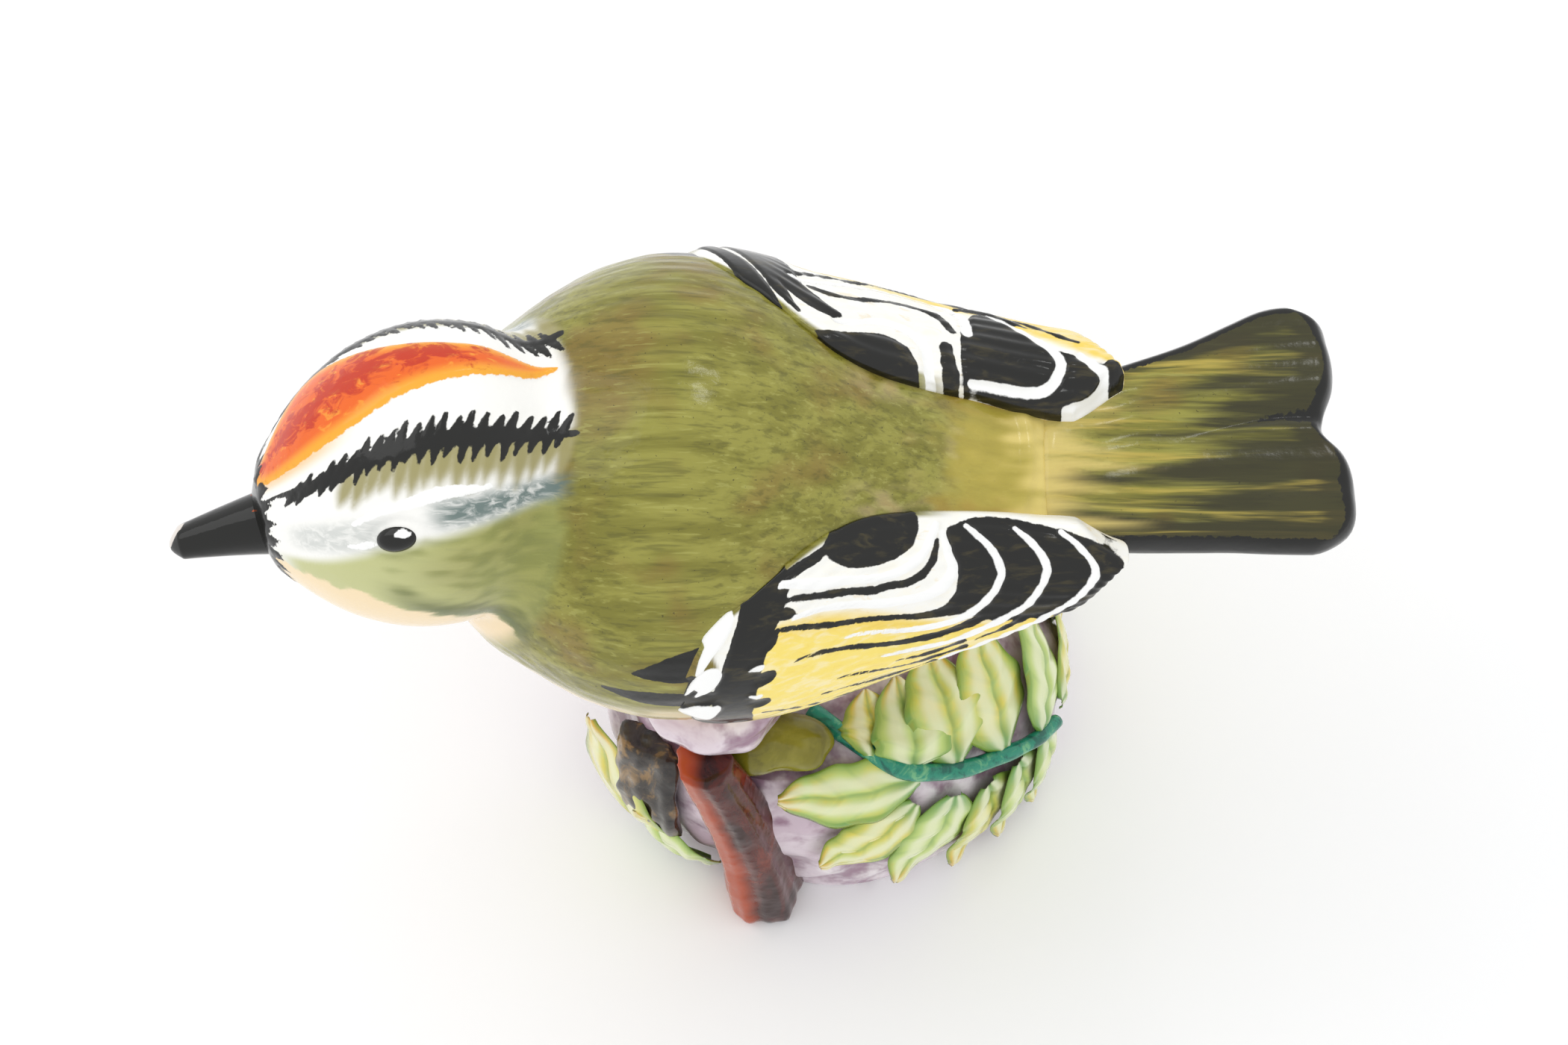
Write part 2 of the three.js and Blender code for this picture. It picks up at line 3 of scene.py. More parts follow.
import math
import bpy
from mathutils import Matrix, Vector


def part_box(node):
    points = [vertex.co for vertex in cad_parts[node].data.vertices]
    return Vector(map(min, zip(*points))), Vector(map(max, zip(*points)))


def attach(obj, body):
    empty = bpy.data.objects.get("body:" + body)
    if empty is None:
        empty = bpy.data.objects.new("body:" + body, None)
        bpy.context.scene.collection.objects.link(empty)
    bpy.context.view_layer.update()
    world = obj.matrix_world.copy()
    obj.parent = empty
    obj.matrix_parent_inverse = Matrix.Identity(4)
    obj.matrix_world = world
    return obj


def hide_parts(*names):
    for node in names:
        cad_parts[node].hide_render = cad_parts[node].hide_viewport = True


bl_info = {
    "name": "Porcelain Songbird Glaze",
    "version": (1, 0, 0),
    "blender": (4, 5, 0),
    "location": "3D Viewport > Sidebar > Songbird",
    "description": "Models and paints a crested porcelain songbird on a leafy rock base",
    "category": "Object",
}

import bmesh
import bpy
import numpy as np
from bpy.props import FloatProperty, FloatVectorProperty, PointerProperty
from mathutils import Matrix, Vector, noise

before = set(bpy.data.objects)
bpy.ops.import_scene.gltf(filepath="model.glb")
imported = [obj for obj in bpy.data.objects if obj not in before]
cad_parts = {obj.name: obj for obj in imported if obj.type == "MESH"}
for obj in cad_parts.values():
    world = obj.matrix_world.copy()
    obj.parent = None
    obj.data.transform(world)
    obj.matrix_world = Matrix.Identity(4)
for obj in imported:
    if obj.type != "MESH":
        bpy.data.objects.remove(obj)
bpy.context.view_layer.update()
MM = 0.001


def glaze(red, green, blue):
    """A colour as a painter names it, 0 to 255, turned into the linear values that nodes take."""
    shares = (channel / 255 for channel in (red, green, blue))
    return tuple(share / 12.92 if share <= 0.04045 else ((share + 0.055) / 1.055) ** 2.4 for share in shares)


def node_box(node):
    """The lowest and highest corner of a CAD node, in millimetres."""
    low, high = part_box(node)
    return np.array(low) / MM, np.array(high) / MM


BODY_LOW, BODY_HIGH = node_box("bird_body")
WING_LOW, WING_HIGH = node_box("left_wing")
PERCH_LOW, PERCH_HIGH = node_box("rock_perch")
TAIL_HIGH = node_box("tail")[1]

BODY_HALF_WIDTH = (BODY_HIGH[1] - BODY_LOW[1]) / 2
BODY_HEIGHT = BODY_HIGH[2] - BODY_LOW[2]
BELLY = BODY_LOW[2]


class SongbirdShape(bpy.types.PropertyGroup):
    head_turn: FloatProperty(name="Head turn", description="Turn of the head to the bird's left",
                             default=math.radians(10), subtype="ANGLE")
    head_droop: FloatProperty(name="Beak droop", description="How far the beak points down",
                              default=math.radians(4.5), subtype="ANGLE")
    head_cock: FloatProperty(name="Head cock", description="Tilt of the crown away from the left side",
                             default=math.radians(20), subtype="ANGLE")
    head_width: FloatProperty(name="Head width", description="Width over the cheeks",
                              default=23.2 * MM, unit="LENGTH")
    head_height: FloatProperty(name="Head height", description="Crown to chin",
                               default=23.4 * MM, unit="LENGTH")
    head_length: FloatProperty(name="Head length", description="Root of the beak to the back of the skull",
                               default=27 * MM, unit="LENGTH")
    skin_grain: FloatProperty(name="Skin grain", description="Size of the mesh cells on the bird's skin",
                              default=0.3 * MM, unit="LENGTH")


def colour_property(name, description, red, green, blue):
    return FloatVectorProperty(name=name, description=description, subtype="COLOR", size=3, min=0, max=1,
                               default=glaze(red, green, blue))


class SongbirdColours(bpy.types.PropertyGroup):
    olive: colour_property("Olive", "Main brush colour of the back", 124, 120, 42)
    olive_light: colour_property("Light olive", "Paler strokes of the back", 150, 146, 64)
    orange: colour_property("Orange", "Middle of the crest", 236, 102, 22)
    yellow: colour_property("Yellow", "Edge of the crest", 250, 176, 52)
    red: colour_property("Red", "Embers along the crest", 192, 36, 10)
    # White also paints the highlights on the eyes and the highlight just in front of each eye.
    white: colour_property("White", "Bars on the wings and head", 252, 252, 250)
    black: colour_property("Black", "Feathers, stripes, eyes and beak", 20, 20, 17)
    lilac: colour_property("Lilac", "The rock", 206, 186, 198)
    # Purple: painted shade in the hollows of the rock and along the top edge of the base, broken up by random
    # mottling.
    purple_shade: colour_property("Purple", "Hollows of the rock", 138, 96, 122)
    leaf: colour_property("Pale leaf", "Main leaf colour", 192, 212, 124)
    lime: colour_property("Lime leaf", "Yellower parts of the leaves", 224, 208, 84)


class SongbirdStage(bpy.types.PropertyGroup):
    elevation: FloatProperty(name="Camera elevation", description="Angle of the camera above the floor",
                             default=math.radians(70), subtype="ANGLE")
    distance: FloatProperty(name="Camera distance", description="Camera to the middle of the bird",
                            default=330 * MM, unit="LENGTH")
    lens: FloatProperty(name="Lens", description="Focal length in mm on a 36 mm sensor", default=94.5)
    daylight: FloatProperty(name="Daylight", description="Strength of the white surroundings", default=1.0)
    softbox: FloatProperty(name="Softbox", description="Power of the soft lamp in watts", default=0.5)


def shape():
    return bpy.context.scene.songbird_shape


# ---------- drawing helpers ----------

def smooth_curve(pairs):
    """A smooth function through given (position, value) pairs."""
    at = np.array([pair[0] for pair in pairs], float)
    value = np.array([pair[1] for pair in pairs], float)
    slope = np.gradient(value, at)

    def evaluate(position):
        position = np.clip(np.asarray(position, float), at[0], at[-1])
        cell = np.clip(np.searchsorted(at, position) - 1, 0, len(at) - 2)
        width = at[cell + 1] - at[cell]
        share = (position - at[cell]) / width
        rise = share * share * (3 - 2 * share)
        start = share * (1 - share) ** 2 * width * slope[cell]
        end = share * share * (share - 1) * width * slope[cell + 1]
        return value[cell] + (value[cell + 1] - value[cell]) * rise + start + end

    return evaluate


def step(low, high, value):
    """0 below low, 1 above high, smooth between."""
    share = np.clip((value - low) / (high - low), 0, 1)
    return share * share * (3 - 2 * share)


def smooth_line(points, pieces=8):
    """Given points of any width joined by a smooth line."""
    points = np.array(points, float)
    padded = np.vstack([2 * points[0] - points[1], points, 2 * points[-1] - points[-2]])
    line = []
    for index in range(1, len(padded) - 2):
        before, start, end, after = padded[index - 1:index + 3]
        for share in np.arange(pieces) / pieces:
            line.append(0.5 * (2 * start + (end - before) * share
                               + (2 * before - 5 * start + 4 * end - after) * share ** 2
                               + (3 * start - before - 3 * end + after) * share ** 3))
    line.append(points[-1])
    return np.array(line)


def stroke(canvas, points, pieces=8):
    """Signed distance to a brush stroke, in mm, above 0 inside. Each point is (x, y, half width)."""
    line = smooth_line(points, pieces)
    best = np.full(len(canvas), -99.0)
    for start, end in zip(line[:-1], line[1:]):
        along = end[:2] - start[:2]
        share = ((canvas - start[:2]) @ along) / max(1e-9, along @ along)
        share = np.clip(share, 0, 1)
        nearest = start[:2] + share[:, None] * along
        half_width = start[2] + share * (end[2] - start[2])
        best = np.maximum(best, half_width - np.linalg.norm(canvas - nearest, axis=1))
    return best


def patch(canvas, outline, pieces=6):
    """Signed distance to a smooth closed outline, in mm, above 0 inside."""
    closed = smooth_line(list(outline) + [outline[0]], pieces)
    distance = np.full(len(canvas), 99.0)
    inside = np.zeros(len(canvas), bool)
    for start, end in zip(closed[:-1], closed[1:]):
        along = end - start
        share = np.clip(((canvas - start) @ along) / max(1e-9, along @ along), 0, 1)
        distance = np.minimum(distance, np.linalg.norm(canvas - start - share[:, None] * along, axis=1))
        crosses = (start[1] > canvas[:, 1]) != (end[1] > canvas[:, 1])
        rise = end[1] - start[1]
        where = start[0] + (canvas[:, 1] - start[1]) / (rise if abs(rise) > 1e-9 else 1e-9) * along[0]
        inside ^= crosses & (canvas[:, 0] < where)
    return np.where(inside, distance, -distance)


# ---------- mesh helpers ----------

def mesh_object(name, model):
    """Makes a finished piece from a bmesh in millimetres."""
    bmesh.ops.recalc_face_normals(model, faces=model.faces)
    mesh = bpy.data.meshes.new(name)
    model.to_mesh(mesh)
    model.free()
    mesh.transform(Matrix.Scale(MM, 4))
    mesh.shade_smooth()
    piece = bpy.data.objects.new(name, mesh)
    bpy.context.scene.collection.objects.link(piece)
    return piece


def round_form(place, around, along):
    """A bmesh sphere whose points a function moves, from their share of the way and angle."""
    model = bmesh.new()
    bmesh.ops.create_uvsphere(model, u_segments=around, v_segments=along, radius=1)
    position = np.array([vertex.co for vertex in model.verts])
    pole = np.clip(position[:, 2], -1, 1)
    moved = place((1 - pole) / 2, np.arctan2(position[:, 1], position[:, 0]), np.sqrt(1 - pole ** 2))
    for vertex, point in zip(model.verts, moved):
        vertex.co = point
    return model


def coordinates(piece):
    """The places of a piece's points, in millimetres."""
    flat = np.empty(len(piece.data.vertices) * 3)
    piece.data.vertices.foreach_get("co", flat)
    return flat.reshape(-1, 3) / MM


def set_coordinates(piece, points):
    piece.data.vertices.foreach_set("co", (np.asarray(points) * MM).ravel())
    piece.data.update()


def point_normals(piece):
    flat = np.empty(len(piece.data.vertices) * 3)
    piece.data.vertex_normals.foreach_get("vector", flat)
    return flat.reshape(-1, 3)


def store(piece, name, values):
    """Keeps one painted value, or one colour, for each point of a piece."""
    values = np.asarray(values, float)
    if values.ndim == 1:
        attribute = piece.data.attributes.new(name, "FLOAT", "POINT")
        attribute.data.foreach_set("value", values)
    elif values.shape[1] == 3 and name.endswith("place"):
        attribute = piece.data.attributes.new(name, "FLOAT_VECTOR", "POINT")
        attribute.data.foreach_set("vector", values.ravel())
    else:
        attribute = piece.data.attributes.new(name, "FLOAT_COLOR", "POINT")
        full = np.ones((len(values), 4))
        full[:, :3] = values
        attribute.data.foreach_set("color", full.ravel())


def fused(name, parts, grain, smoothing):
    """Joins overlapping closed parts into one smooth skin."""
    whole = bmesh.new()
    for part in parts:
        mesh = bpy.data.meshes.new(name)
        bmesh.ops.recalc_face_normals(part, faces=part.faces)
        part.to_mesh(mesh)
        part.free()
        whole.from_mesh(mesh)
        bpy.data.meshes.remove(mesh)
    piece = mesh_object(name, whole)
    remesh = piece.modifiers.new("Fuse", "REMESH")
    remesh.mode = "VOXEL"
    remesh.voxel_size = grain * MM
    remesh.use_smooth_shade = True
    evaluated = piece.evaluated_get(bpy.context.evaluated_depsgraph_get())
    skin = bpy.data.meshes.new_from_object(evaluated)
    piece.modifiers.clear()
    coarse = piece.data
    piece.data = skin
    bpy.data.meshes.remove(coarse)
    skin.name = name
    relax(piece, smoothing)
    return piece


def relax(piece, rounds, share=None):
    """Smooths a piece. share tells how strongly, for each point."""
    edges = np.empty(len(piece.data.edges) * 2, int)
    piece.data.edges.foreach_get("vertices", edges)
    first, second = edges[0::2], edges[1::2]
    points = coordinates(piece)
    count = np.bincount(edges, minlength=len(points))[:, None]
    strength = 0.5 if share is None else 0.5 * np.asarray(share)[:, None]
    for _ in range(rounds):
        total = [np.bincount(first, points[second, axis], len(points))
                 + np.bincount(second, points[first, axis], len(points)) for axis in range(3)]
        points += strength * (np.stack(total, axis=-1) / count - points)
    set_coordinates(piece, points)


# ---------- the bird's forms ----------

GIRTH = smooth_curve([(-34, 0.0), (-33, 0.26), (-31, 0.43), (-28, 0.63), (-24, 0.79), (-19.6, 0.93),
                      (-15.5, 0.99), (-12, 1.0), (-6, 0.94), (-2.7, 0.87), (3.6, 0.72), (9.9, 0.58),
                      (15.5, 0.47), (19.3, 0.42), (26, 0.38)])
BACK = smooth_curve([(-34, 0.4), (-33, 0.53), (-31, 0.66), (-28, 0.81), (-24, 0.92), (-19.6, 0.98),
                     (-15.5, 1.0), (-12, 1.0), (-6, 0.945), (-2.7, 0.89), (3.6, 0.775), (9.9, 0.665),
                     (15.5, 0.6), (19.3, 0.58), (26, 0.565)])
UNDERSIDE = smooth_curve([(-34, 0.4), (-33, 0.27), (-31, 0.16), (-28, 0.075), (-24, 0.025), (-19.6, 0.003),
                          (-15.5, 0.0), (-12, 0.0), (-6, 0.006), (-2.7, 0.02), (3.6, 0.1), (9.9, 0.21),
                          (15.5, 0.32), (19.3, 0.395), (26, 0.44)])
SPINE_START = -12
BODY_SHIFT = 0.6
TAIL_DRIFT = 4.4


def spine_y(x):
    beyond = np.maximum(0, x - SPINE_START)
    return BODY_SHIFT + TAIL_DRIFT * (beyond / (TAIL_HIGH[0] - SPINE_START)) ** 2


def body_point(x, roll, outward=0.0):
    """A point of the body's skin. roll is 0 on top and a quarter turn on the bird's left side."""
    half_width = np.maximum(0, BODY_HALF_WIDTH * GIRTH(x) + outward)
    top = BODY_HEIGHT * BACK(x)
    bottom = BODY_HEIGHT * UNDERSIDE(x)
    half_height = np.maximum(0, (top - bottom) / 2 + outward)
    y = spine_y(x) - half_width * np.sin(roll)
    z = BELLY + (top + bottom) / 2 + half_height * np.cos(roll)
    return np.stack(np.broadcast_arrays(x, y, z), axis=-1)


def body_form():
    def place(share, angle, girth):
        x = -34 + 58 * share
        skin = body_point(x, angle)
        axis = (body_point(x, 0) + body_point(x, math.pi)) / 2
        tuck = np.minimum(1, girth * 2.5)[:, None]
        return axis + (skin - axis) * tuck
    return round_form(place, 128, 96)


HEAD_CENTRE = Vector((-32.7, -0.9, BELLY + 22))
HEAD_RADIUS = 10.9
CHIN_DROP = 1.4
HEAD_GIRTH = smooth_curve([(0, 0.2), (0.05, 0.36), (0.12, 0.55), (0.2, 0.72), (0.34, 0.91), (0.5, 1.0),
                           (0.66, 0.97), (0.82, 0.8), (0.93, 0.52), (1, 0.3)])


def head_frame():
    turn = Matrix.Rotation(shape().head_turn, 4, "Z")
    droop = Matrix.Rotation(-shape().head_droop, 4, "Y")
    cock = Matrix.Rotation(-shape().head_cock, 4, "X")
    return Matrix.Translation(HEAD_CENTRE) @ turn @ droop @ cock


def head_size():
    """The head's length, width and height, in mm."""
    sizes = shape()
    return sizes.head_length / MM, sizes.head_width / MM, sizes.head_height / MM


def head_point(share, roll, outward=0.0):
    """A point of the head in its own frame, beak towards -X."""
    length, width, height = head_size()
    x = -length / 2 - outward + (length + 2 * outward) * share
    y = -(width / 2 * HEAD_GIRTH(share) + outward) * np.sin(roll)
    z = (height / 2 * HEAD_GIRTH(share) + outward) * np.cos(roll) - CHIN_DROP * (1 - share) ** 2
    return np.stack(np.broadcast_arrays(x, y, z), axis=-1)


def turned(points, matrix):
    rotation = np.array(matrix.to_3x3())
    return points @ rotation.T + np.array(matrix.translation)


def unturned(points, matrix):
    return (points - np.array(matrix.translation)) @ np.array(matrix.to_3x3())


def head_form():
    matrix = head_frame()

    def place(share, angle, girth):
        skin = head_point(share, angle)
        axis = (head_point(share, 0) + head_point(share, math.pi)) / 2
        tuck = np.minimum(1, girth * 2.2)[:, None]
        return turned(axis + (skin - axis) * tuck, matrix)
    return round_form(place, 96, 72)


def blob(centre, radii, around=32):
    """A plain ellipsoid that is fused into a skin to fill or swell it."""
    model = bmesh.new()
    bmesh.ops.create_uvsphere(model, u_segments=around, v_segments=around // 2, radius=1)
    bmesh.ops.scale(model, vec=radii, verts=model.verts)
    bmesh.ops.translate(model, vec=centre, verts=model.verts)
    return model


WING_FRONT = WING_LOW[0]
WING_TIP = WING_HIGH[0]
WING_UPPER = smooth_curve([(0, 84), (0.1, 60), (0.24, 42), (0.42, 26), (0.6, 24), (0.8, 30), (0.92, 40),
                           (1, 58)])
WING_LOWER = smooth_curve([(0, 92), (0.1, 104), (0.24, 112), (0.6, 113), (0.8, 107), (0.92, 94), (1, 72)])


def wing_point(share, across, side, depth):
    """A point of a folded wing. across is 0 at the edge on the back and 1 at the flank;
    depth is 1 on the painted face and -1 on the face against the body."""
    x = WING_FRONT + (WING_TIP - WING_FRONT) * share
    roll = WING_UPPER(share) + (WING_LOWER(share) - WING_UPPER(share)) * across
    if side < 0:
        roll = roll - 20 * step(0.65, 1.0, share)
    roll = np.radians(roll)
    flare = 0.45 * step(0.0, 0.16, share) + 4.0 * share ** 1.3 * (0.35 + 0.65 * np.sin(roll))
    flare -= 0.5 * step(0.12, 0.0, share)
    if side < 0:
        flare += 0.7 * step(0.3, 0.5, share) * step(0.95, 0.7, share)
    outward = (flare - 1.3) / 2 + (flare + 1.3) / 2 * depth
    return body_point(x, roll * side, outward)


def wing_form(side):
    """The wing's bmesh, and across and depth for each of its points."""
    kept = {}

    def place(share, angle, girth):
        across = 0.5 + 0.5 * np.cos(angle) * np.minimum(1, girth * 1.6)
        depth = np.sin(angle) * np.minimum(1, girth * 1.6)
        depth = np.sign(depth) * np.abs(depth) ** 0.6
        kept.update(across=across, depth=depth)
        return wing_point(share, across, side, depth)
    return round_form(place, 250, 230), kept["across"], kept["depth"]


TAIL_ROOT = 14.6
TAIL_END = smooth_curve([(-1, 38.3), (-0.86, 39.7), (-0.54, 40.2), (-0.24, 39.4), (-0.06, 37.8),
                         (0.03, 37.9), (0.3, 38.8), (0.65, 38.6), (0.9, 37.6), (1, 36.2)])
TAIL_HALF_WIDTH = smooth_curve([(14.6, 6.4), (18, 7.0), (22.5, 7.8), (27.4, 8.7), (30.7, 9.5), (33, 10.1),
                                (40, 10.4)])
TAIL_MIDDLE = smooth_curve([(14.6, 1.6), (19, 2.4), (22.5, 3.0), (27.4, 3.9), (30.7, 4.7), (33, 5.2),
                            (40, 5.4)])
TAIL_THICK = 3.4
TAIL_SLAB = (12.0, 9.7)


def rounded_slab(half, radius, cuts):
    """A cube mesh of the half sizes with fully rounded edges."""
    model = bmesh.new()
    bmesh.ops.create_cube(model, size=2)
    bmesh.ops.subdivide_edges(model, edges=model.edges, cuts=cuts, use_grid_fill=True)
    half = np.array(half)
    points = np.array([vertex.co for vertex in model.verts]) * half
    core = np.clip(points, -(half - radius), half - radius)
    reach = points - core
    length = np.linalg.norm(reach, axis=1, keepdims=True)
    rounded = core + radius * reach / np.maximum(length, 1e-9)
    for vertex, point in zip(model.verts, rounded):
        vertex.co = point
    return model


def tail_form():
    half_length, half_width = TAIL_SLAB
    model = rounded_slab((half_length, half_width, TAIL_THICK / 2), TAIL_THICK / 2 * 0.98, 46)
    points = np.array([vertex.co for vertex in model.verts])
    across = points[:, 1] / half_width
    share = (points[:, 0] + half_length) / (2 * half_length)
    x = TAIL_ROOT + (TAIL_END(across) - TAIL_ROOT) * share
    y = TAIL_MIDDLE(x) + across * TAIL_HALF_WIDTH(x)
    rump_top = BELLY + BODY_HEIGHT * BACK(x) + 0.15
    top = rump_top + (TAIL_HIGH[2] - rump_top) * step(17, 24, x)
    arch = 0.9 * across ** 2
    z = top - TAIL_THICK / 2 + points[:, 2] - arch * (1 + 1.2 * step(22, 15, x))
    z -= 1.0 * step(1.4, 0.0, x - TAIL_ROOT)
    for vertex, point in zip(model.verts, np.stack([x, y, z], axis=-1)):
        vertex.co = point
    return model


def beak_form():
    matrix = head_frame()
    root = -shape().head_length / MM / 2 + 2.2
    length = 8.9

    def place(share, angle, girth):
        taper = (1 - 0.55 * share) * np.minimum(1, ((1 - share) * 9 + 0.0001) ** 0.5)
        taper = taper * np.minimum(1, (share * 14 + 0.02) ** 0.5)
        high = np.sin(angle)
        x = root - length * share
        y = 2.75 * taper * np.cos(angle)
        z = (2.75 * high + 0.2 * np.abs(high)) * taper * (1 - 0.12 * share) - 1.7 - 0.5 * share ** 2
        return turned(np.stack([x, y - 0.5, z], axis=-1), matrix)
    return round_form(place, 64, 80)


EYE_SHARE = 0.442
EYE_ROLL = 63.5
EYE_RADII = (1.62, 1.08, 0.95)
EYE_SUNK = 0.42


def eye_form(side):
    """A low glass-like bead of clay on the cheek."""
    matrix = head_frame()
    roll = math.radians(EYE_ROLL) * side
    seat = Vector(head_point(EYE_SHARE, roll))
    outward = (Vector(head_point(EYE_SHARE, roll, 1.0)) - seat).normalized()
    model = bmesh.new()
    bmesh.ops.create_uvsphere(model, u_segments=48, v_segments=32, radius=1)
    bmesh.ops.scale(model, vec=EYE_RADII, verts=model.verts)
    turn = Vector((0, 0, 1)).rotation_difference(outward).to_matrix().to_4x4()
    place = matrix @ Matrix.Translation(seat - outward * EYE_SUNK) @ turn
    bmesh.ops.transform(model, matrix=place, verts=model.verts)
    return model


# ---------- the base's forms ----------

BASE_SWELL = smooth_curve([(0, 0.96), (0.12, 1), (0.42, 1), (0.7, 0.93), (1, 0.74)])
BASE_HALF = (20.0, 18.5)
BASE_TOP = node_box("base")[1][2]
PERCH_MIDDLE = (PERCH_LOW + PERCH_HIGH) / 2
PERCH_HALF = (PERCH_HIGH - PERCH_LOW) / 2
PERCH_TOP = PERCH_HIGH[2]


def base_point(share, angle, outward=0.0, reach=1.0):
    """A point of the rock. share runs from the foot to the top."""
    lump = 1 + 0.018 * np.sin(3 * angle + 4 * share) + 0.012 * np.sin(7 * angle - 5 * share)
    x = (BASE_HALF[0] * BASE_SWELL(share) * lump + outward) * reach * np.cos(angle) - 4.5 * share ** 2
    y = (BASE_HALF[1] * BASE_SWELL(share) * lump + outward) * reach * np.sin(angle) - 1.5 * share ** 2
    z = BASE_TOP * share
    return np.stack(np.broadcast_arrays(x, y, z), axis=-1)


def capped_form(place, around, rings):
    """A closed drum whose rings a function moves, from their share of the way and angles."""
    model = bmesh.new()
    bmesh.ops.create_cone(model, cap_ends=True, segments=around, radius1=1, radius2=1, depth=2)
    sides = [edge for edge in model.edges if abs(edge.verts[0].co.z - edge.verts[1].co.z) > 1]
    bmesh.ops.subdivide_edges(model, edges=sides, cuts=rings - 2)
    stack = [[] for _ in range(rings)]
    for vertex in model.verts:
        stack[round((vertex.co.z + 1) / 2 * (rings - 1))].append(vertex)
    for ring, vertices in enumerate(stack):
        angles = np.array([math.atan2(vertex.co.y, vertex.co.x) for vertex in vertices])
        for vertex, point in zip(vertices, place(ring / (rings - 1), angles)):
            vertex.co = point
    return model


def rock_form():
    return capped_form(base_point, 96, 24)


def perch_form():
    flare = smooth_curve([(0, 0.86), (0.35, 0.88), (0.75, 1.03), (0.9, 1.04), (1, 0.9)])

    def place(share, angle):
        lump = 1 + 0.03 * np.sin(4 * angle + 2 * share) + 0.02 * np.sin(9 * angle)
        size = flare(share) * lump
        x = PERCH_MIDDLE[0] + PERCH_HALF[0] * size * np.cos(angle)
        y = PERCH_MIDDLE[1] + PERCH_HALF[1] * size * np.sin(angle)
        z = np.full(len(angle), BASE_TOP - 2 + (PERCH_TOP - BASE_TOP + 2) * share)
        return np.stack([x, y, z], axis=-1)
    return capped_form(place, 72, 14)


def noisy(points, scale, seed=0.0):
    """A slow random value for each point, about -1 to 1."""
    return np.array([noise.noise(Vector(point) * scale + Vector((seed, 0, 0))) for point in points])


BRANCH_FOOT = Vector((-6.3, -19.0, 0.0))
BRANCH_LEAN = Vector((-5.0, 4.2, 27.0))
BRANCH_BOW = 0.9


def branch_form():
    def place(share, angle):
        ribs = 1 + 0.09 * np.sin(5 * angle + 1.2 * share) * (1 - 0.4 * share) + 0.04 * np.sin(12 * angle)
        radius = (3.35 - 1.0 * share) * ribs * min(1, (0.5 + share * 14) ** 0.4)
        middle = BRANCH_FOOT + BRANCH_LEAN * share
        x = middle.x + radius * np.cos(angle) + BRANCH_BOW * math.sin(math.pi * share)
        y = middle.y + radius * np.sin(angle)
        return np.stack([x, y, np.full(len(angle), middle.z)], axis=-1)
    return capped_form(place, 64, 40)


def bark_form():
    def place(share, angle):
        height = (9.0 + (BASE_TOP - 9.0) * share) / BASE_TOP
        around = math.radians(-137) + math.radians(11) * np.cos(angle)
        out = 0.9 + (1.2 + 0.35 * np.sin(17 * around) + 0.2 * math.sin(9 * share)) * np.sin(angle)
        return base_point(height, around, out)
    return capped_form(place, 72, 30)


def hollow_form():
    """The flat olive cushion, scalloped along its lower edge."""
    low, high = node_box("moss_cushion")
    middle, half = (low + high) / 2 - (1.3, 0.1, 0.4), (high - low) / 2

    def place(share, angle, girth):
        scallop = 1 + 0.12 * np.maximum(0, -np.sin(angle)) * np.sin(5.5 * angle)
        x = middle[0] + half[0] * 1.12 * girth * np.cos(angle) * scallop
        y = middle[1] + half[1] * 1.15 * girth * np.sin(angle) * scallop
        z = middle[2] + half[2] * (1 - 2 * share) - 0.3
        return np.stack([x, y, z], axis=-1)
    return round_form(place, 80, 40)


STALK = [(-74, 21, 0.55), (-60, 21, 0.82), (-54, 20), (-44, 17), (-32, 14), (-24, 11.8), (-17, 9.8)]
LEAVES = {
    "big_front_leaf": ((-53, 18.4), (-74, 18.9), (-95, 19.6), 6.2),
    "front_leaflet_1": ((-59, 16.4), (-77, 12.8), (-91, 10.6), 6.0),
    "front_leaflet_2": ((-50, 14.8), (-62, 10.6), (-76, 6.2), 7.0),
    "front_leaflet_3": ((-42, 12.6), (-48, 6.8), (-61, 1.8), 7.2),
    "front_leaflet_4": ((-32, 11.6), (-37, 6.2), (-47, 1.8), 7.0),
    "side_leaflet_1": ((-22, 10.6), (-26, 5.8), (-34, 1.6), 6.6),
    "upper_leaflet_1": ((-60, 21, 0.95), (-53, 21, 0.8), (-44, 21, 0.6), 6.0),
    "upper_leaflet_2": ((-52, 19.6), (-44, 21, 0.97), (-30, 21, 0.7), 7.4),
    "upper_leaflet_3": ((-43, 17.2), (-30, 20.4), (-13, 21, 0.8), 8.2),
    "upper_leaflet_4": ((-32, 14.2), (-18, 18.0), (0, 20.4), 8.6),
    "upper_leaflet_5": ((-22, 11.2), (-7, 13.6), (12, 14.8), 8.0),
    "side_leaflet_2": ((-12, 9.0), (2, 7.8), (20, 7.2), 7.2),
    "back_leaflet_1": ((22, 1.6), (24, 9.4), (28, 17.0), 6.4),
    "back_leaflet_2": ((44, 1.6), (45, 9.4), (48, 18.0), 6.6),
    "left_tall_leaf": ((-132, 1.6, 1.05), (-144, 9.5, 1.09), (-156, 19.0, 1.08), 9.2),
    "left_low_leaf": ((-121, 2.0, 1.02), (-129, 5.8, 1.05), (-138, 10.0, 1.05), 6.2),
    "rear_left_leaf": ((150, 1.6), (144, 9.0), (134, 17.2), 7.0),
}


LEAF_THICK = 0.6
ROCK_HEART = np.array((-2.0, -1.0, 5.0))


def rock_spot(angle, height, reach=1.0):
    return base_point(height / BASE_TOP, math.radians(angle), 0.0, reach)


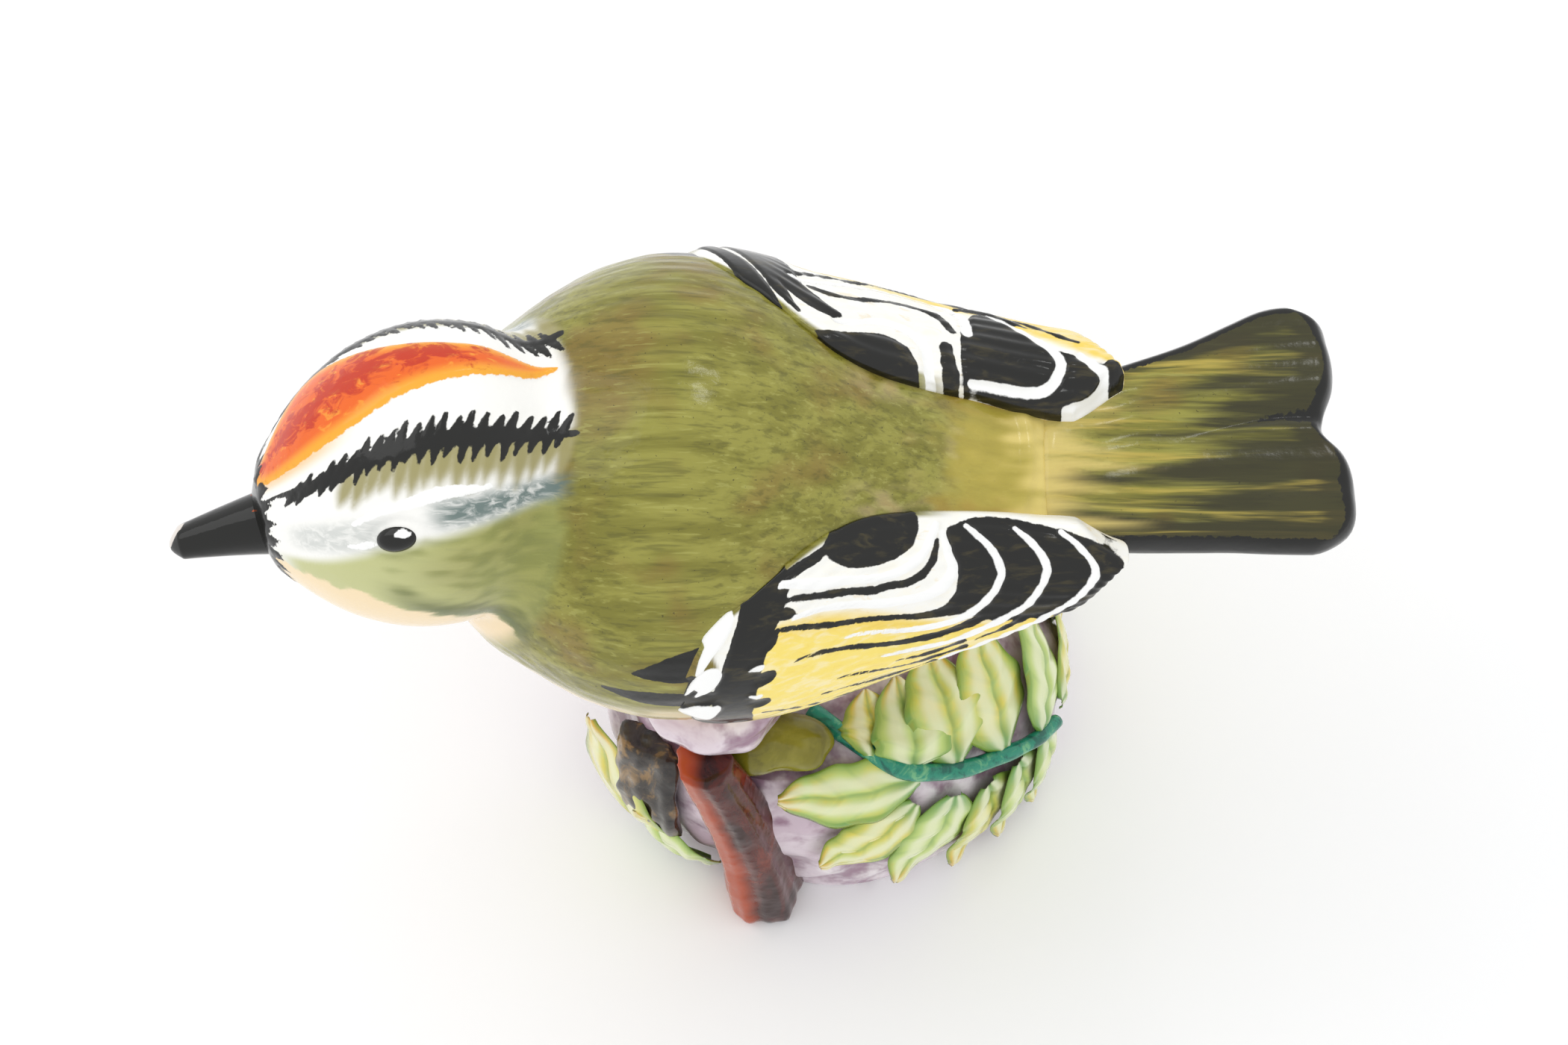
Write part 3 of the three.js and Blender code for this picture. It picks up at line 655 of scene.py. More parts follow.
def stalk_form():
    path = smooth_line([rock_spot(*spot) for spot in STALK], 12)

    def place(share, angle):
        at = share * (len(path) - 1)
        low = min(int(at), len(path) - 2)
        middle = path[low] + (path[low + 1] - path[low]) * (at - low)
        along = path[min(low + 2, len(path) - 1)] - path[max(low - 1, 0)]
        along /= np.linalg.norm(along)
        out = middle - ROCK_HEART
        out /= np.linalg.norm(out)
        side = np.cross(along, out)
        radius = 0.95 * (1 - 0.35 * share) * (1 + 0.05 * math.sin(40 * share))
        out = np.cross(side, along)
        return middle + out * 0.8 + radius * (np.cos(angle)[:, None] * side + np.sin(angle)[:, None] * out)
    return capped_form(place, 24, 60)


def leaf_form(name):
    """A leaf bent over the rock, of even thickness, and how far each point is along and across it."""
    root, middle, tip, width = LEAVES[name]
    line = smooth_line([rock_spot(*root), rock_spot(*middle), rock_spot(*tip)], 24)
    model = bmesh.new()
    bmesh.ops.create_grid(model, x_segments=40, y_segments=18, size=1)
    flat = np.array([vertex.co for vertex in model.verts])
    share, across = (flat[:, 0] + 1) / 2, flat[:, 1]
    at = share * (len(line) - 1)
    low = np.clip(at.astype(int), 0, len(line) - 2)
    middle = line[low] + (line[low + 1] - line[low]) * (at - low)[:, None]
    along = line[np.minimum(low + 2, len(line) - 1)] - line[np.maximum(low - 1, 0)]
    along /= np.linalg.norm(along, axis=1, keepdims=True)
    out = middle - ROCK_HEART
    side = np.cross(along, out)
    side /= np.linalg.norm(side, axis=1, keepdims=True)
    out = np.cross(side, along)
    half = width / 2 * np.sin(math.pi * np.clip(share, 0.015, 0.988) ** 0.85) ** 0.62
    half = half * (1 + 0.05 * np.sin(share * 21 + len(name)))
    arch = 1.15 - 0.85 * across ** 2 - 0.35 * np.exp(-(across * half / 0.35) ** 2)
    arch += 0.16 * np.sin(share * 24 - np.abs(across) * 5) * (1 - across ** 2)
    arch += 1.1 * step(0.75, 1.0, share) ** 2
    points = middle + side * (across * half)[:, None] + out * (0.75 * arch + 0.1)[:, None]
    for vertex, point in zip(model.verts, points):
        vertex.co = point
    bmesh.ops.solidify(model, geom=model.faces, thickness=-LEAF_THICK)
    along = np.tile(share, 2)[:len(model.verts)]
    across = np.tile(across, 2)[:len(model.verts)]
    return model, along, across


LEG_X = -6
LEG_SPREAD = 4


def leg_form(side):
    model = bmesh.new()
    bmesh.ops.create_cone(model, cap_ends=True, segments=24, radius1=1.5, radius2=1.05, depth=3.6)
    bmesh.ops.subdivide_edges(model, edges=model.edges, cuts=2, use_grid_fill=True)
    bmesh.ops.rotate(model, matrix=Matrix.Rotation(math.pi, 3, "X"), verts=model.verts)
    bmesh.ops.translate(model, vec=(LEG_X, -LEG_SPREAD * side, PERCH_TOP + 3.2), verts=model.verts)
    return model


def foot_form(side):
    """Three toes forward and one back, on the rock, with a claw at the end of each."""
    def toe(degrees):
        heading = math.radians(degrees)

        def place(share, angle, girth):
            reach = 4.4 * share
            thick = 0.85 * (1 + 0.12 * np.sin(share * 16)) * (1 - 0.6 * step(0.7, 1.0, share))
            height = 0.95 + 0.5 * np.sin(share * math.pi) - 0.35 * share
            x = reach * math.cos(heading) - thick * girth * np.cos(angle) * math.sin(heading)
            y = reach * math.sin(heading) + thick * girth * np.cos(angle) * math.cos(heading)
            z = height + thick * girth * np.sin(angle)
            return np.stack([x + LEG_X, y - LEG_SPREAD * side, z + PERCH_TOP], axis=-1)
        return round_form(place, 20, 28)
    return [toe(degrees) for degrees in (150, 180, 210, 0)]


# ---------- glazes ----------

def new_material(name):
    material = bpy.data.materials.new(name)
    material.use_nodes = True
    return material


class Kiln:
    """Builds a node tree in few words. Inputs are sockets or plain numbers."""

    def __init__(self, tree):
        self.tree = tree

    def node(self, kind, **settings):
        node = self.tree.nodes.new(kind)
        for name, value in settings.items():
            setattr(node, name, value)
        return node

    def feed(self, socket, value):
        if isinstance(value, bpy.types.NodeSocket):
            self.tree.links.new(value, socket)
        elif value is not None:
            if hasattr(value, "__len__") and len(value) == 3 and socket.type == "RGBA":
                value = (*value, 1)
            socket.default_value = value

    def math(self, operation, first, second=None, third=None):
        node = self.node("ShaderNodeMath", operation=operation)
        for socket, value in zip(node.inputs, (first, second, third)):
            self.feed(socket, value)
        return node.outputs[0]

    def mix(self, share, first, second):
        node = self.node("ShaderNodeMix", data_type="RGBA")
        self.feed(node.inputs["Factor"], share)
        self.feed(node.inputs[6], first)
        self.feed(node.inputs[7], second)
        return node.outputs[2]

    def range(self, value, low, high, to_low=0.0, to_high=1.0):
        node = self.node("ShaderNodeMapRange", interpolation_type="SMOOTHSTEP")
        for socket, entry in zip(node.inputs, (value, low, high, to_low, to_high)):
            self.feed(socket, entry)
        return node.outputs[0]

    def attribute(self, name, output="Fac"):
        return self.node("ShaderNodeAttribute", attribute_name=name).outputs[output]

    def stretched(self, vector, scale):
        node = self.node("ShaderNodeMapping")
        self.feed(node.inputs["Vector"], vector)
        self.feed(node.inputs["Scale"], scale)
        return node.outputs[0]

    def noise(self, vector, scale, detail=3.0, roughness=0.55, distortion=0.0):
        node = self.node("ShaderNodeTexNoise")
        self.feed(node.inputs["Vector"], vector)
        self.feed(node.inputs["Scale"], scale)
        self.feed(node.inputs["Detail"], detail)
        self.feed(node.inputs["Roughness"], roughness)
        self.feed(node.inputs["Distortion"], distortion)
        return node.outputs["Fac"]

    def place(self):
        """Object coordinates in millimetres."""
        node = self.node("ShaderNodeTexCoord")
        return self.stretched(node.outputs["Object"], (1000.0, 1000.0, 1000.0))


def shared_group(name, inputs, outputs, build):
    """A reusable group of shader nodes, made once. inputs and outputs are (name, kind) pairs."""
    if name in bpy.data.node_groups:
        return bpy.data.node_groups[name]
    tree = bpy.data.node_groups.new(name, "ShaderNodeTree")
    for entry, kind in inputs:
        tree.interface.new_socket(name=entry, in_out="INPUT", socket_type="NodeSocket" + kind)
    for entry, kind in outputs:
        tree.interface.new_socket(name=entry, in_out="OUTPUT", socket_type="NodeSocket" + kind)
    kiln = Kiln(tree)
    given = kiln.node("NodeGroupInput").outputs
    results = build(kiln, given)
    end = kiln.node("NodeGroupOutput")
    for (entry, kind), result in zip(outputs, results):
        kiln.feed(end.inputs[entry], result)
    return tree


def use(kiln, tree, *values):
    node = kiln.node("ShaderNodeGroup")
    node.node_tree = tree
    for socket, value in zip(node.inputs, values):
        kiln.feed(socket, value)
    return node.outputs[0]


def brush_edge():
    """Turns a painted distance into a crisp, slightly hairy brush mark."""
    def build(kiln, given):
        wobble = kiln.math("SUBTRACT", kiln.noise(given["Position"], 1.5, 3.0, 0.6), 0.5)
        value = kiln.math("MULTIPLY_ADD", wobble, given["Wobble"], given["Distance"])
        return [kiln.range(value, -0.05, 0.05)]
    return shared_group("Brush edge", [("Distance", "Float"), ("Position", "Vector"), ("Wobble", "Float")],
                        [("Mask", "Float")], build)


def olive_brushwork():
    """Olive underglaze laid on in lengthwise strokes, with paler and browner ones and small pits."""
    def build(kiln, given):
        tones = bpy.context.scene.songbird_colours
        long_strokes = kiln.noise(kiln.stretched(given["Position"], (0.07, 0.55, 0.55)), 1.0, 4.0, 0.62, 0.4)
        fine_strokes = kiln.noise(kiln.stretched(given["Position"], (0.16, 2.2, 2.2)), 1.0, 3.0, 0.6, 0.3)
        clouds = kiln.noise(given["Position"], 0.13, 2.0)
        colour = kiln.mix(kiln.range(long_strokes, 0.4, 0.62), tones.olive, tones.olive_light)
        colour = kiln.mix(kiln.range(clouds, 0.5, 0.68, 0, 0.55), colour, glaze(128, 96, 42))
        colour = kiln.mix(kiln.range(fine_strokes, 0.5, 0.68, 0, 0.5), colour, glaze(84, 82, 26))
        colour = kiln.mix(kiln.range(fine_strokes, 0.42, 0.31, 0, 0.4), colour, glaze(178, 176, 96))
        specks = kiln.noise(given["Position"], 2.6, 2.0, 0.7)
        return [kiln.mix(kiln.range(specks, 0.69, 0.74, 0, 0.7), colour, glaze(52, 48, 20))]
    return shared_group("Olive brushwork", [("Position", "Vector")], [("Colour", "Color")], build)


def glaze_surface():
    """The slow ripple and faint pits of a fired glaze, as a normal."""
    def build(kiln, given):
        ripple = kiln.noise(given["Position"], 0.45, 2.0, 0.5)
        grain = kiln.noise(given["Position"], 2.2, 3.0, 0.6)
        height = kiln.math("MULTIPLY_ADD", grain, 0.16, ripple)
        bump = kiln.node("ShaderNodeBump")
        bump.inputs["Distance"].default_value = 0.00022
        kiln.feed(bump.inputs["Strength"], given["Strength"])
        kiln.feed(bump.inputs["Height"], height)
        return [bump.outputs[0]]
    return shared_group("Glaze surface", [("Position", "Vector"), ("Strength", "Float")],
                        [("Normal", "Vector")], build)


def start_glaze(name):
    """A new glaze: its node builder and its mm coordinates."""
    material = new_material(name)
    kiln = Kiln(material.node_tree)
    return material, kiln, kiln.place()


def fire(material, kiln, place, colour, ripple=0.5, roughness=0.16):
    """Puts the colour under a clear glossy glaze."""
    shader = material.node_tree.nodes["Principled BSDF"]
    kiln.feed(shader.inputs["Base Color"], colour)
    kiln.feed(shader.inputs["Normal"], use(kiln, glaze_surface(), place, ripple))
    shader.inputs["Roughness"].default_value = roughness
    shader.inputs["Specular IOR Level"].default_value = 0.36
    shader.inputs["Coat Weight"].default_value = 0.12
    shader.inputs["Coat Roughness"].default_value = 0.07
    return material


def painted(kiln, place, colour, mark, tone, wobble=0.35):
    """Lays one set of brush marks over a colour."""
    return kiln.mix(use(kiln, brush_edge(), kiln.attribute(mark), place, wobble), colour, tone)


def skin_glaze():
    tones = bpy.context.scene.songbird_colours
    material, kiln, place = start_glaze("Olive, white and orange glaze")
    olive = use(kiln, olive_brushwork(), place)
    colour = kiln.mix(kiln.attribute("olive"), kiln.attribute("wash", "Color"), olive)
    fan = kiln.range(kiln.attribute("tan"), -0.45, 0.5, 0, 0.95)
    colour = kiln.mix(fan, colour, glaze(158, 150, 98))
    brushed = kiln.noise(kiln.stretched(place, (0.35, 1.6, 1.6)), 1.2, 3.0, 0.6, 0.8)
    haze = kiln.math("MULTIPLY", kiln.attribute("slate"), kiln.range(brushed, 0.3, 0.6, 0.35, 1.0))
    colour = kiln.mix(haze, colour, glaze(96, 116, 112))
    colour = painted(kiln, place, colour, "white", tones.white, 0.5)
    flame = kiln.noise(kiln.stretched(place, (0.5, 1.3, 1.3)), 0.9, 3.0, 0.6, 0.6)
    crest = kiln.mix(kiln.range(kiln.attribute("crest"), 0.1, 1.5), tones.yellow, tones.orange)
    crest = kiln.mix(kiln.range(flame, 0.58, 0.68, 0, 0.75), crest, glaze(244, 160, 50))
    clots = kiln.noise(kiln.stretched(place, (0.6, 1.0, 1.0)), 0.8, 4.0, 0.65, 0.8)
    mottle = kiln.math("SUBTRACT", clots, 0.48)
    heat = kiln.math("MULTIPLY_ADD", mottle, 9.0, kiln.attribute("ember"))
    crest = kiln.mix(kiln.range(heat, -0.5, 0.9, 0, 0.85), crest, tones.red)
    colour = kiln.mix(use(kiln, brush_edge(), kiln.attribute("crest"), place, 0.5), colour, crest)
    colour = painted(kiln, place, colour, "black", tones.black, 0.3)
    return fire(material, kiln, place, colour)


def wing_glaze():
    tones = bpy.context.scene.songbird_colours
    material, kiln, place = start_glaze("Yellow, black and white glaze")
    streak = kiln.noise(kiln.stretched(place, (0.3, 1.6, 1.6)), 0.8, 3.0, 0.6, 0.4)
    thin = kiln.range(streak, 0.45, 0.68, 0, 0.4)
    colour = kiln.mix(thin, kiln.attribute("wash", "Color"), glaze(252, 246, 226))
    colour = kiln.mix(kiln.range(streak, 0.4, 0.3, 0, 0.25), colour, glaze(236, 196, 84))
    colour = kiln.mix(kiln.attribute("olive"), colour, use(kiln, olive_brushwork(), place))
    ink = kiln.mix(kiln.range(streak, 0.5, 0.72), tones.black, glaze(58, 52, 30))
    colour = painted(kiln, place, colour, "black", ink, 0.3)
    colour = painted(kiln, place, colour, "white", tones.white, 0.2)
    return fire(material, kiln, place, colour, 0.35)


def tail_glaze():
    tones = bpy.context.scene.songbird_colours
    material, kiln, place = start_glaze("Streaked tail glaze")
    olive = use(kiln, olive_brushwork(), place)
    streaks = kiln.noise(kiln.stretched(place, (0.04, 0.7, 0.3)), 1.0, 4.0, 0.62, 0.25)
    dark = kiln.attribute("dark")
    colour = kiln.mix(kiln.range(streaks, 0.52, 0.64, 0, 0.9), olive, glaze(184, 164, 74))
    shade = kiln.math("MULTIPLY_ADD", kiln.math("SUBTRACT", 0.5, streaks), 2.6, dark)
    colour = kiln.mix(kiln.range(shade, 0.25, 0.95, 0, 0.92), colour, glaze(42, 40, 20))
    colour = kiln.mix(kiln.attribute("cream"), colour, glaze(222, 200, 118))
    colour = painted(kiln, place, colour, "black", tones.black, 0.9)
    return fire(material, kiln, place, colour, 0.35)


def black_glaze(name, glint):
    tones = bpy.context.scene.songbird_colours
    material, kiln, place = start_glaze(name)
    colour = painted(kiln, place, tones.black, "hair", tones.orange, 0.5)
    colour = painted(kiln, place, colour, "white", glint, 0.4)
    return fire(material, kiln, place, colour, 0.25, 0.06)


def mottled_glaze(name, low, middle, high, scale, stretch=(1.0, 1.0, 1.0), ripple=0.5):
    """Three tones that run into each other, as a wet glaze does."""
    material, kiln, place = start_glaze(name)
    flow = kiln.noise(kiln.stretched(place, stretch), scale, 4.0, 0.6, 0.6)
    grain = kiln.noise(place, scale * 6, 2.0, 0.6)
    colour = kiln.mix(kiln.range(flow, 0.36, 0.5), low, middle)
    colour = kiln.mix(kiln.range(flow, 0.52, 0.66), colour, high)
    colour = kiln.mix(kiln.range(grain, 0.6, 0.72, 0, 0.3), colour, low)
    return material, kiln, place, colour, ripple


def rock_glaze():
    tones = bpy.context.scene.songbird_colours
    material, kiln, place, colour, ripple = mottled_glaze(
        "Lilac glaze", tones.lilac, glaze(226, 212, 220), glaze(238, 230, 232), 0.16)
    # Purple painted shade over the rock's hollows and top edge, broken up by random mottling.
    shadow = kiln.math("ADD", kiln.attribute("hollow_shade"),
                       kiln.math("MULTIPLY", kiln.math("SUBTRACT", kiln.noise(place, 0.5, 3.0), 0.5), 1.4))
    colour = kiln.mix(kiln.range(shadow, 0.25, 0.8, 0, 0.85), colour, tones.purple_shade)
    return fire(material, kiln, place, colour, ripple)


def branch_glaze():
    material, kiln, place, colour, ripple = mottled_glaze(
        "Red-brown glaze", glaze(44, 10, 6), glaze(80, 22, 12), glaze(116, 40, 20), 0.35, (1, 1, 0.35))
    colour = kiln.mix(kiln.range(kiln.attribute("lit"), 0.2, 0.75), colour, glaze(172, 68, 28))
    return fire(material, kiln, place, colour, ripple)


def leaf_glaze():
    """Every leaf's glaze. leaf_place holds how far along and across the leaf a point is, and its tint."""
    tones = bpy.context.scene.songbird_colours
    material, kiln, place = start_glaze("Leaf glaze")
    split = kiln.node("ShaderNodeSeparateXYZ")
    kiln.feed(split.inputs[0], kiln.attribute("leaf_place", "Vector"))
    along, across, tint = split.outputs
    clouds = kiln.noise(place, 0.4, 3.0, 0.6, 0.5)
    edge = kiln.math("ABSOLUTE", across)
    yellowing = kiln.range(kiln.math("MULTIPLY_ADD", clouds, 0.9, tint), 0.55, 1.1)
    colour = kiln.mix(yellowing, tones.leaf, tones.lime)
    # Painted shade: darker teal-green towards the root of each leaf.
    colour = kiln.mix(kiln.range(along, 0.34, 0.02, 0, 0.75), colour, glaze(84, 150, 92))
    tip = kiln.math("MULTIPLY_ADD", clouds, 0.4, along)
    colour = kiln.mix(kiln.range(tip, 0.95, 1.2, 0, 0.8), colour, glaze(224, 176, 70))
    rib = kiln.math("SINE", kiln.math("MULTIPLY_ADD", along, 26.0, kiln.math("MULTIPLY", edge, -6.0)))
    vein = kiln.range(kiln.math("MULTIPLY_ADD", clouds, 0.5, rib), 0.9, 1.4, 0, 0.2)
    colour = kiln.mix(vein, colour, glaze(96, 150, 84))
    # A painted highlight: a pale band along each half of the blade, on its crown beside the midrib.
    pale = kiln.range(kiln.math("ABSOLUTE", kiln.math("SUBTRACT", edge, 0.4)), 0.34, 0.05, 0, 0.7)
    colour = kiln.mix(pale, colour, glaze(238, 240, 206))
    colour = kiln.mix(kiln.range(edge, 0.12, 0.0, 0, 0.45), colour, glaze(108, 154, 84))
    colour = kiln.mix(kiln.range(edge, 0.66, 0.97, 0, 0.8), colour, glaze(116, 156, 60))
    return fire(material, kiln, place, colour, 0.3)


def toned_glaze(name, low, middle, high, scale, stretch=(1.0, 1.0, 1.0)):
    return fire(*mottled_glaze(name, low, middle, high, scale, stretch))


# ---------- painting ----------

FLANK_RADIUS = 18
FLANK_MARKS = [
    [(-15.9, 22.0, 0.3), (-14.3, 21.6, 1.0), (-12.6, 21.2, 1.6), (-11.0, 20.6, 1.7), (-9.5, 19.5, 1.2)],
    [(-18.4, 25.4, 0.3), (-16.4, 25.6, 0.8), (-14.2, 25.6, 1.2), (-10.4, 25.8, 1.3)],
]


def head_canvas(points):
    """For points on the skin: mm along the head from its middle, and mm round it from the crown."""
    local = unturned(points, head_frame())
    length, width, height = head_size()
    share = np.clip((local[:, 0] + length / 2) / length, 0, 1)
    drop = CHIN_DROP * (1 - share) ** 2
    roll = np.arctan2(-local[:, 1] / width, (local[:, 2] + drop) / height)
    return np.stack([local[:, 0], roll * HEAD_RADIUS], axis=-1)


def blend(colour, tone, share):
    return colour + (np.array(tone) - colour) * np.clip(share, 0, 1)[:, None]


CREST = [(-12.2, 0.8), (-10.8, -1.6), (-8.5, -4.6), (-6, -5.4), (-2.7, -4.2), (1.2, -3.2), (4.7, -2.8),
         (7.3, -2.7), (9.8, -2.6), (12.4, -2.2), (11, -1.0), (8.9, 0.1), (6.3, 0.7), (3.6, 1.2), (0.8, 1.8),
         (-1.1, 2.4), (-3.3, 3.1), (-5.8, 3.6), (-8.3, 4.0), (-10.4, 3.9), (-11.8, 2.8)]
EMBERS = [(-11.4, 1.0, 0.5), (-8.6, 0.2, 1.0), (-4.8, -1.0, 1.6), (0.0, -1.4, 1.2), (4.0, -1.4, 0.7),
          (7.0, -1.3, 0.2)]
STRIPE = smooth_curve([(-9.6, 6.9), (-6.7, 6.5), (-4.7, 6.2), (-2.4, 5.8), (0, 5.6), (2.9, 5.6), (5, 5.8),
                       (8.2, 6.1), (11.5, 6.2), (13.2, 6.4)])


def stripe_strokes(canvas):
    """The toothed black stripe over each eye: short strokes that lean back, over a solid core."""
    core = [(-11.4, 6.0, 0.2), (-7.0, 6.5, 0.45), (-2.4, 5.9, 0.55), (2.9, 5.7, 0.6), (8.2, 6.1, 0.65),
            (12.8, 6.8, 0.4)]
    marks = stroke(canvas, core)
    for index in range(22):
        s = -9.0 + index
        middle = float(STRIPE(s))
        reach = 0.85 + 0.055 * index + 0.28 * math.sin(index * 2.3)
        tooth = [(s - 0.8, middle + reach, 0.14), (s, middle, 0.44), (s + 0.9, middle - reach - 0.1, 0.16)]
        marks = np.maximum(marks, stroke(canvas, tooth, 3))
    return marks


def fan_strokes(canvas):
    """Soft tan strokes that fan out below the stripe."""
    marks = np.full(len(canvas), -99.0)
    for index in range(16):
        s = -4.5 + 1.1 * index
        start = float(STRIPE(s)) + 0.9
        reach = 1.7 + 0.13 * index + 0.4 * math.sin(index * 1.7)
        tooth = [(s - 0.9, start + reach, 0.1), (s - 0.3, start + reach / 2, 0.6), (s + 0.3, start, 0.7)]
        marks = np.maximum(marks, stroke(canvas, tooth, 3))
    return marks


def head_share(points):
    """1 on the head and 0 on the body, for points on the skin."""
    local = unturned(points, head_frame())
    length, width, height = head_size()
    share = np.clip((local[:, 0] + length / 2) / length, 0, 1)
    drop = CHIN_DROP * (1 - share) ** 2
    spread = np.hypot(local[:, 1] / (width / 2), (local[:, 2] + drop) / (height / 2))
    return step(0.36, 0.12, spread - HEAD_GIRTH(share)) * step(-18.2, -20.8, points[:, 0])


def paint_skin(skin):
    points = coordinates(skin)
    canvas = head_canvas(points)
    s, t = canvas[:, 0], np.abs(canvas[:, 1])
    folded = np.stack([s, t], axis=-1)
    x, y, z = points.T
    on_head = head_share(points)
    forehead = np.where(x < -17.0, 1, 0)
    crest = np.where(forehead, patch(canvas, CREST), -9.0)
    ember = np.where(forehead, stroke(canvas, EMBERS), -9.0)
    lower = (canvas[:, 1] < 0) * 1.5 * np.exp(-((s - 2) / 6.5) ** 2)
    black = np.where(forehead, stripe_strokes(np.stack([s, t - lower], axis=-1)), -9.0)
    mask_edge = -11.4 + 0.35 * np.sin(canvas[:, 1] * 2.1) + 0.25 * np.sin(canvas[:, 1] * 4.7)
    black = np.maximum(black, (mask_edge - s) * 0.8)
    roll = np.arctan2((spine_y(x) - y) / 1.2, z - BELLY - 15.5)
    flank = np.stack([x, np.abs(roll) * FLANK_RADIUS], axis=-1)
    for mark in FLANK_MARKS:
        black = np.maximum(black, stroke(flank, mark))
    tan = np.where(forehead, fan_strokes(folded), -9.0)
    brow = [(-4.6, 10.4, 0.2), (-2.8, 9.9, 0.3), (0.0, 9.6, 0.4), (2.6, 9.4, 0.5), (6.0, 9.8, 0.2)]
    white = stroke(folded, brow)
    # A painted highlight: a short white stroke just in front of the eye.
    white = np.maximum(white, stroke(folded, [(-5.4, 12.2, 0.15), (-4.2, 12.3, 0.3), (-3.3, 12.3, 0.2)]))
    slate = step(1.8, 0.3, np.abs(t - 10.9 - 0.1 * (s - 2))) * step(0.2, 3.0, s) * 0.95
    lore = step(-10.8, -8.5, s) * step(-1.0, -4.0, s) * step(2.0, 0.6, np.abs(t - 11.5))
    slate = np.maximum(slate, 0.35 * lore)
    slate *= on_head
    wash = np.tile(np.array(glaze(250, 249, 244)), (len(points), 1))
    hairy = noisy(points * (0.35, 1.5, 1.5), 0.9, 11.0)
    jaw = t - 16.9 - 0.68 * np.maximum(0, s + 5.5) + 0.25 * np.maximum(0, -8 - s) + 0.8 * hairy
    cheek = step(12.0, 13.4, t + 0.25 * np.minimum(0, s + 3)) * step(-12.0, -9.5, s)
    wash = blend(wash, glaze(198, 200, 142), cheek)
    wash = blend(wash, glaze(166, 168, 98), cheek * step(-4, 8, s))
    wash = blend(wash, glaze(132, 140, 76), cheek * step(0.0, 0.7, hairy + 0.06 * s) * step(-9, 0, s) * 0.7)
    wash = blend(wash, glaze(84, 96, 50), cheek * step(2.4, 0.3, np.abs(jaw + 1.1)) * step(-5, 0, s) * 0.85)
    wash = blend(wash, glaze(248, 224, 182), step(-0.1, 0.3, jaw) * on_head)
    under = t - STRIPE(s) + 0.5 * hairy
    tan_haze = step(0.2, 0.9, under) * step(3.6, 2.0, under) * step(-3, 3, s) * forehead
    wash = blend(wash, glaze(178, 170, 120), tan_haze * 0.75)
    glow = step(-1.4, 0.0, crest) * step(-2, -7, s) * step(2.0, 4.0, canvas[:, 1])
    wash = blend(wash, glaze(250, 208, 150), glow * 0.8)
    below = step(BELLY + 13.0, BELLY + 9.0, z - 0.25 * (x + 30) + 1.2 * noisy(points, 0.4, 2.0))
    edge = noisy(points, 0.5, 7.0) * 1.2
    olive = (1 - on_head) * (1 - below)
    olive = np.maximum(olive, cheek * step(-0.2, -1.4, jaw) * step(-8, 9, s + edge) * 0.35)
    olive = np.maximum(olive, step(-22.4, -20.6, x + edge) * (1 - below))
    olive *= 1 - step(10.2, 11.2, s + 0.4 * edge) * step(6.9, 5.6, t) * step(-19.2, -20.6, x) * on_head
    body = 1 - on_head
    wash = blend(wash, glaze(246, 222, 178), body * np.maximum(below, step(-18, -14, x)))
    streaky = noisy(points * (0.12, 1.3, 1.3), 0.9, 4.0)
    wash = blend(wash, glaze(186, 168, 72), step(3, 9, x + 3 * streaky) * body)
    wash = blend(wash, glaze(230, 208, 122), step(11.5, 16, x + 3.5 * streaky) * body)
    ochre = step(2.6, 0.4, np.abs(np.abs(y - spine_y(x)) - 5.4)) * step(-1, 4, x) * step(15, 11, x)
    ochre *= step(-0.5, 0.4, streaky)
    olive *= 1 - 0.75 * step(6, 17, x + 7 * streaky)
    wash = blend(wash, glaze(156, 108, 40), ochre * 0.55 * body)
    olive *= 1 - 0.5 * ochre
    for name, values in (("crest", crest), ("ember", ember), ("black", black), ("tan", tan), ("white", white),
                         ("slate", slate), ("olive", olive), ("wash", wash)):
        store(skin, name, values)
    relief = 0.32 * step(-0.15, 0.35, crest) + 0.08 * step(-0.2, 0.2, white) * on_head
    relief += 0.1 * step(-0.1, 0.25, black) * on_head + 0.05 * step(-0.3, 0.3, tan)
    relief += 0.07 * noisy(points * (0.25, 1.2, 1.2), 0.9) * body
    crease = np.exp(-((x - 14.6 + 0.04 * (y - 2) ** 2) / 0.6) ** 2)
    relief += 0.3 * crease * step(BELLY + 14, BELLY + 18, z)
    socket = np.hypot((s + 1.55) / 2.0, (t - 12.1) / 1.35)
    relief -= 0.2 * np.exp(-(socket / 0.8) ** 2) + 0.2 * np.exp(-((socket - 1.1) / 0.2) ** 2)
    points = points + point_normals(skin) * relief[:, None]
    points[:, 2] -= 1.8 * step(15.4, 17.5, x) * step(BELLY + 8, BELLY + 12, z)
    set_coordinates(skin, points)


def wing_breadth(x):
    """The wing's breadth across its painted face, in mm."""
    share = np.clip((x - WING_FRONT) / (WING_TIP - WING_FRONT), 0, 1)
    half_body = BODY_HALF_WIDTH * GIRTH(x) + 3.0 * share
    return np.maximum(0.5, np.radians(WING_LOWER(share) - WING_UPPER(share)) * half_body)


def feather(canvas, points):
    """A brush stroke on a wing. Each point is (x, twelfths of the way across, half width)."""
    return stroke(canvas, [(x, across / 12 * float(wing_breadth(x)), half) for x, across, half in points])


def feather_patch(canvas, points):
    return patch(canvas, [(x, across / 12 * float(wing_breadth(x))) for x, across in points])


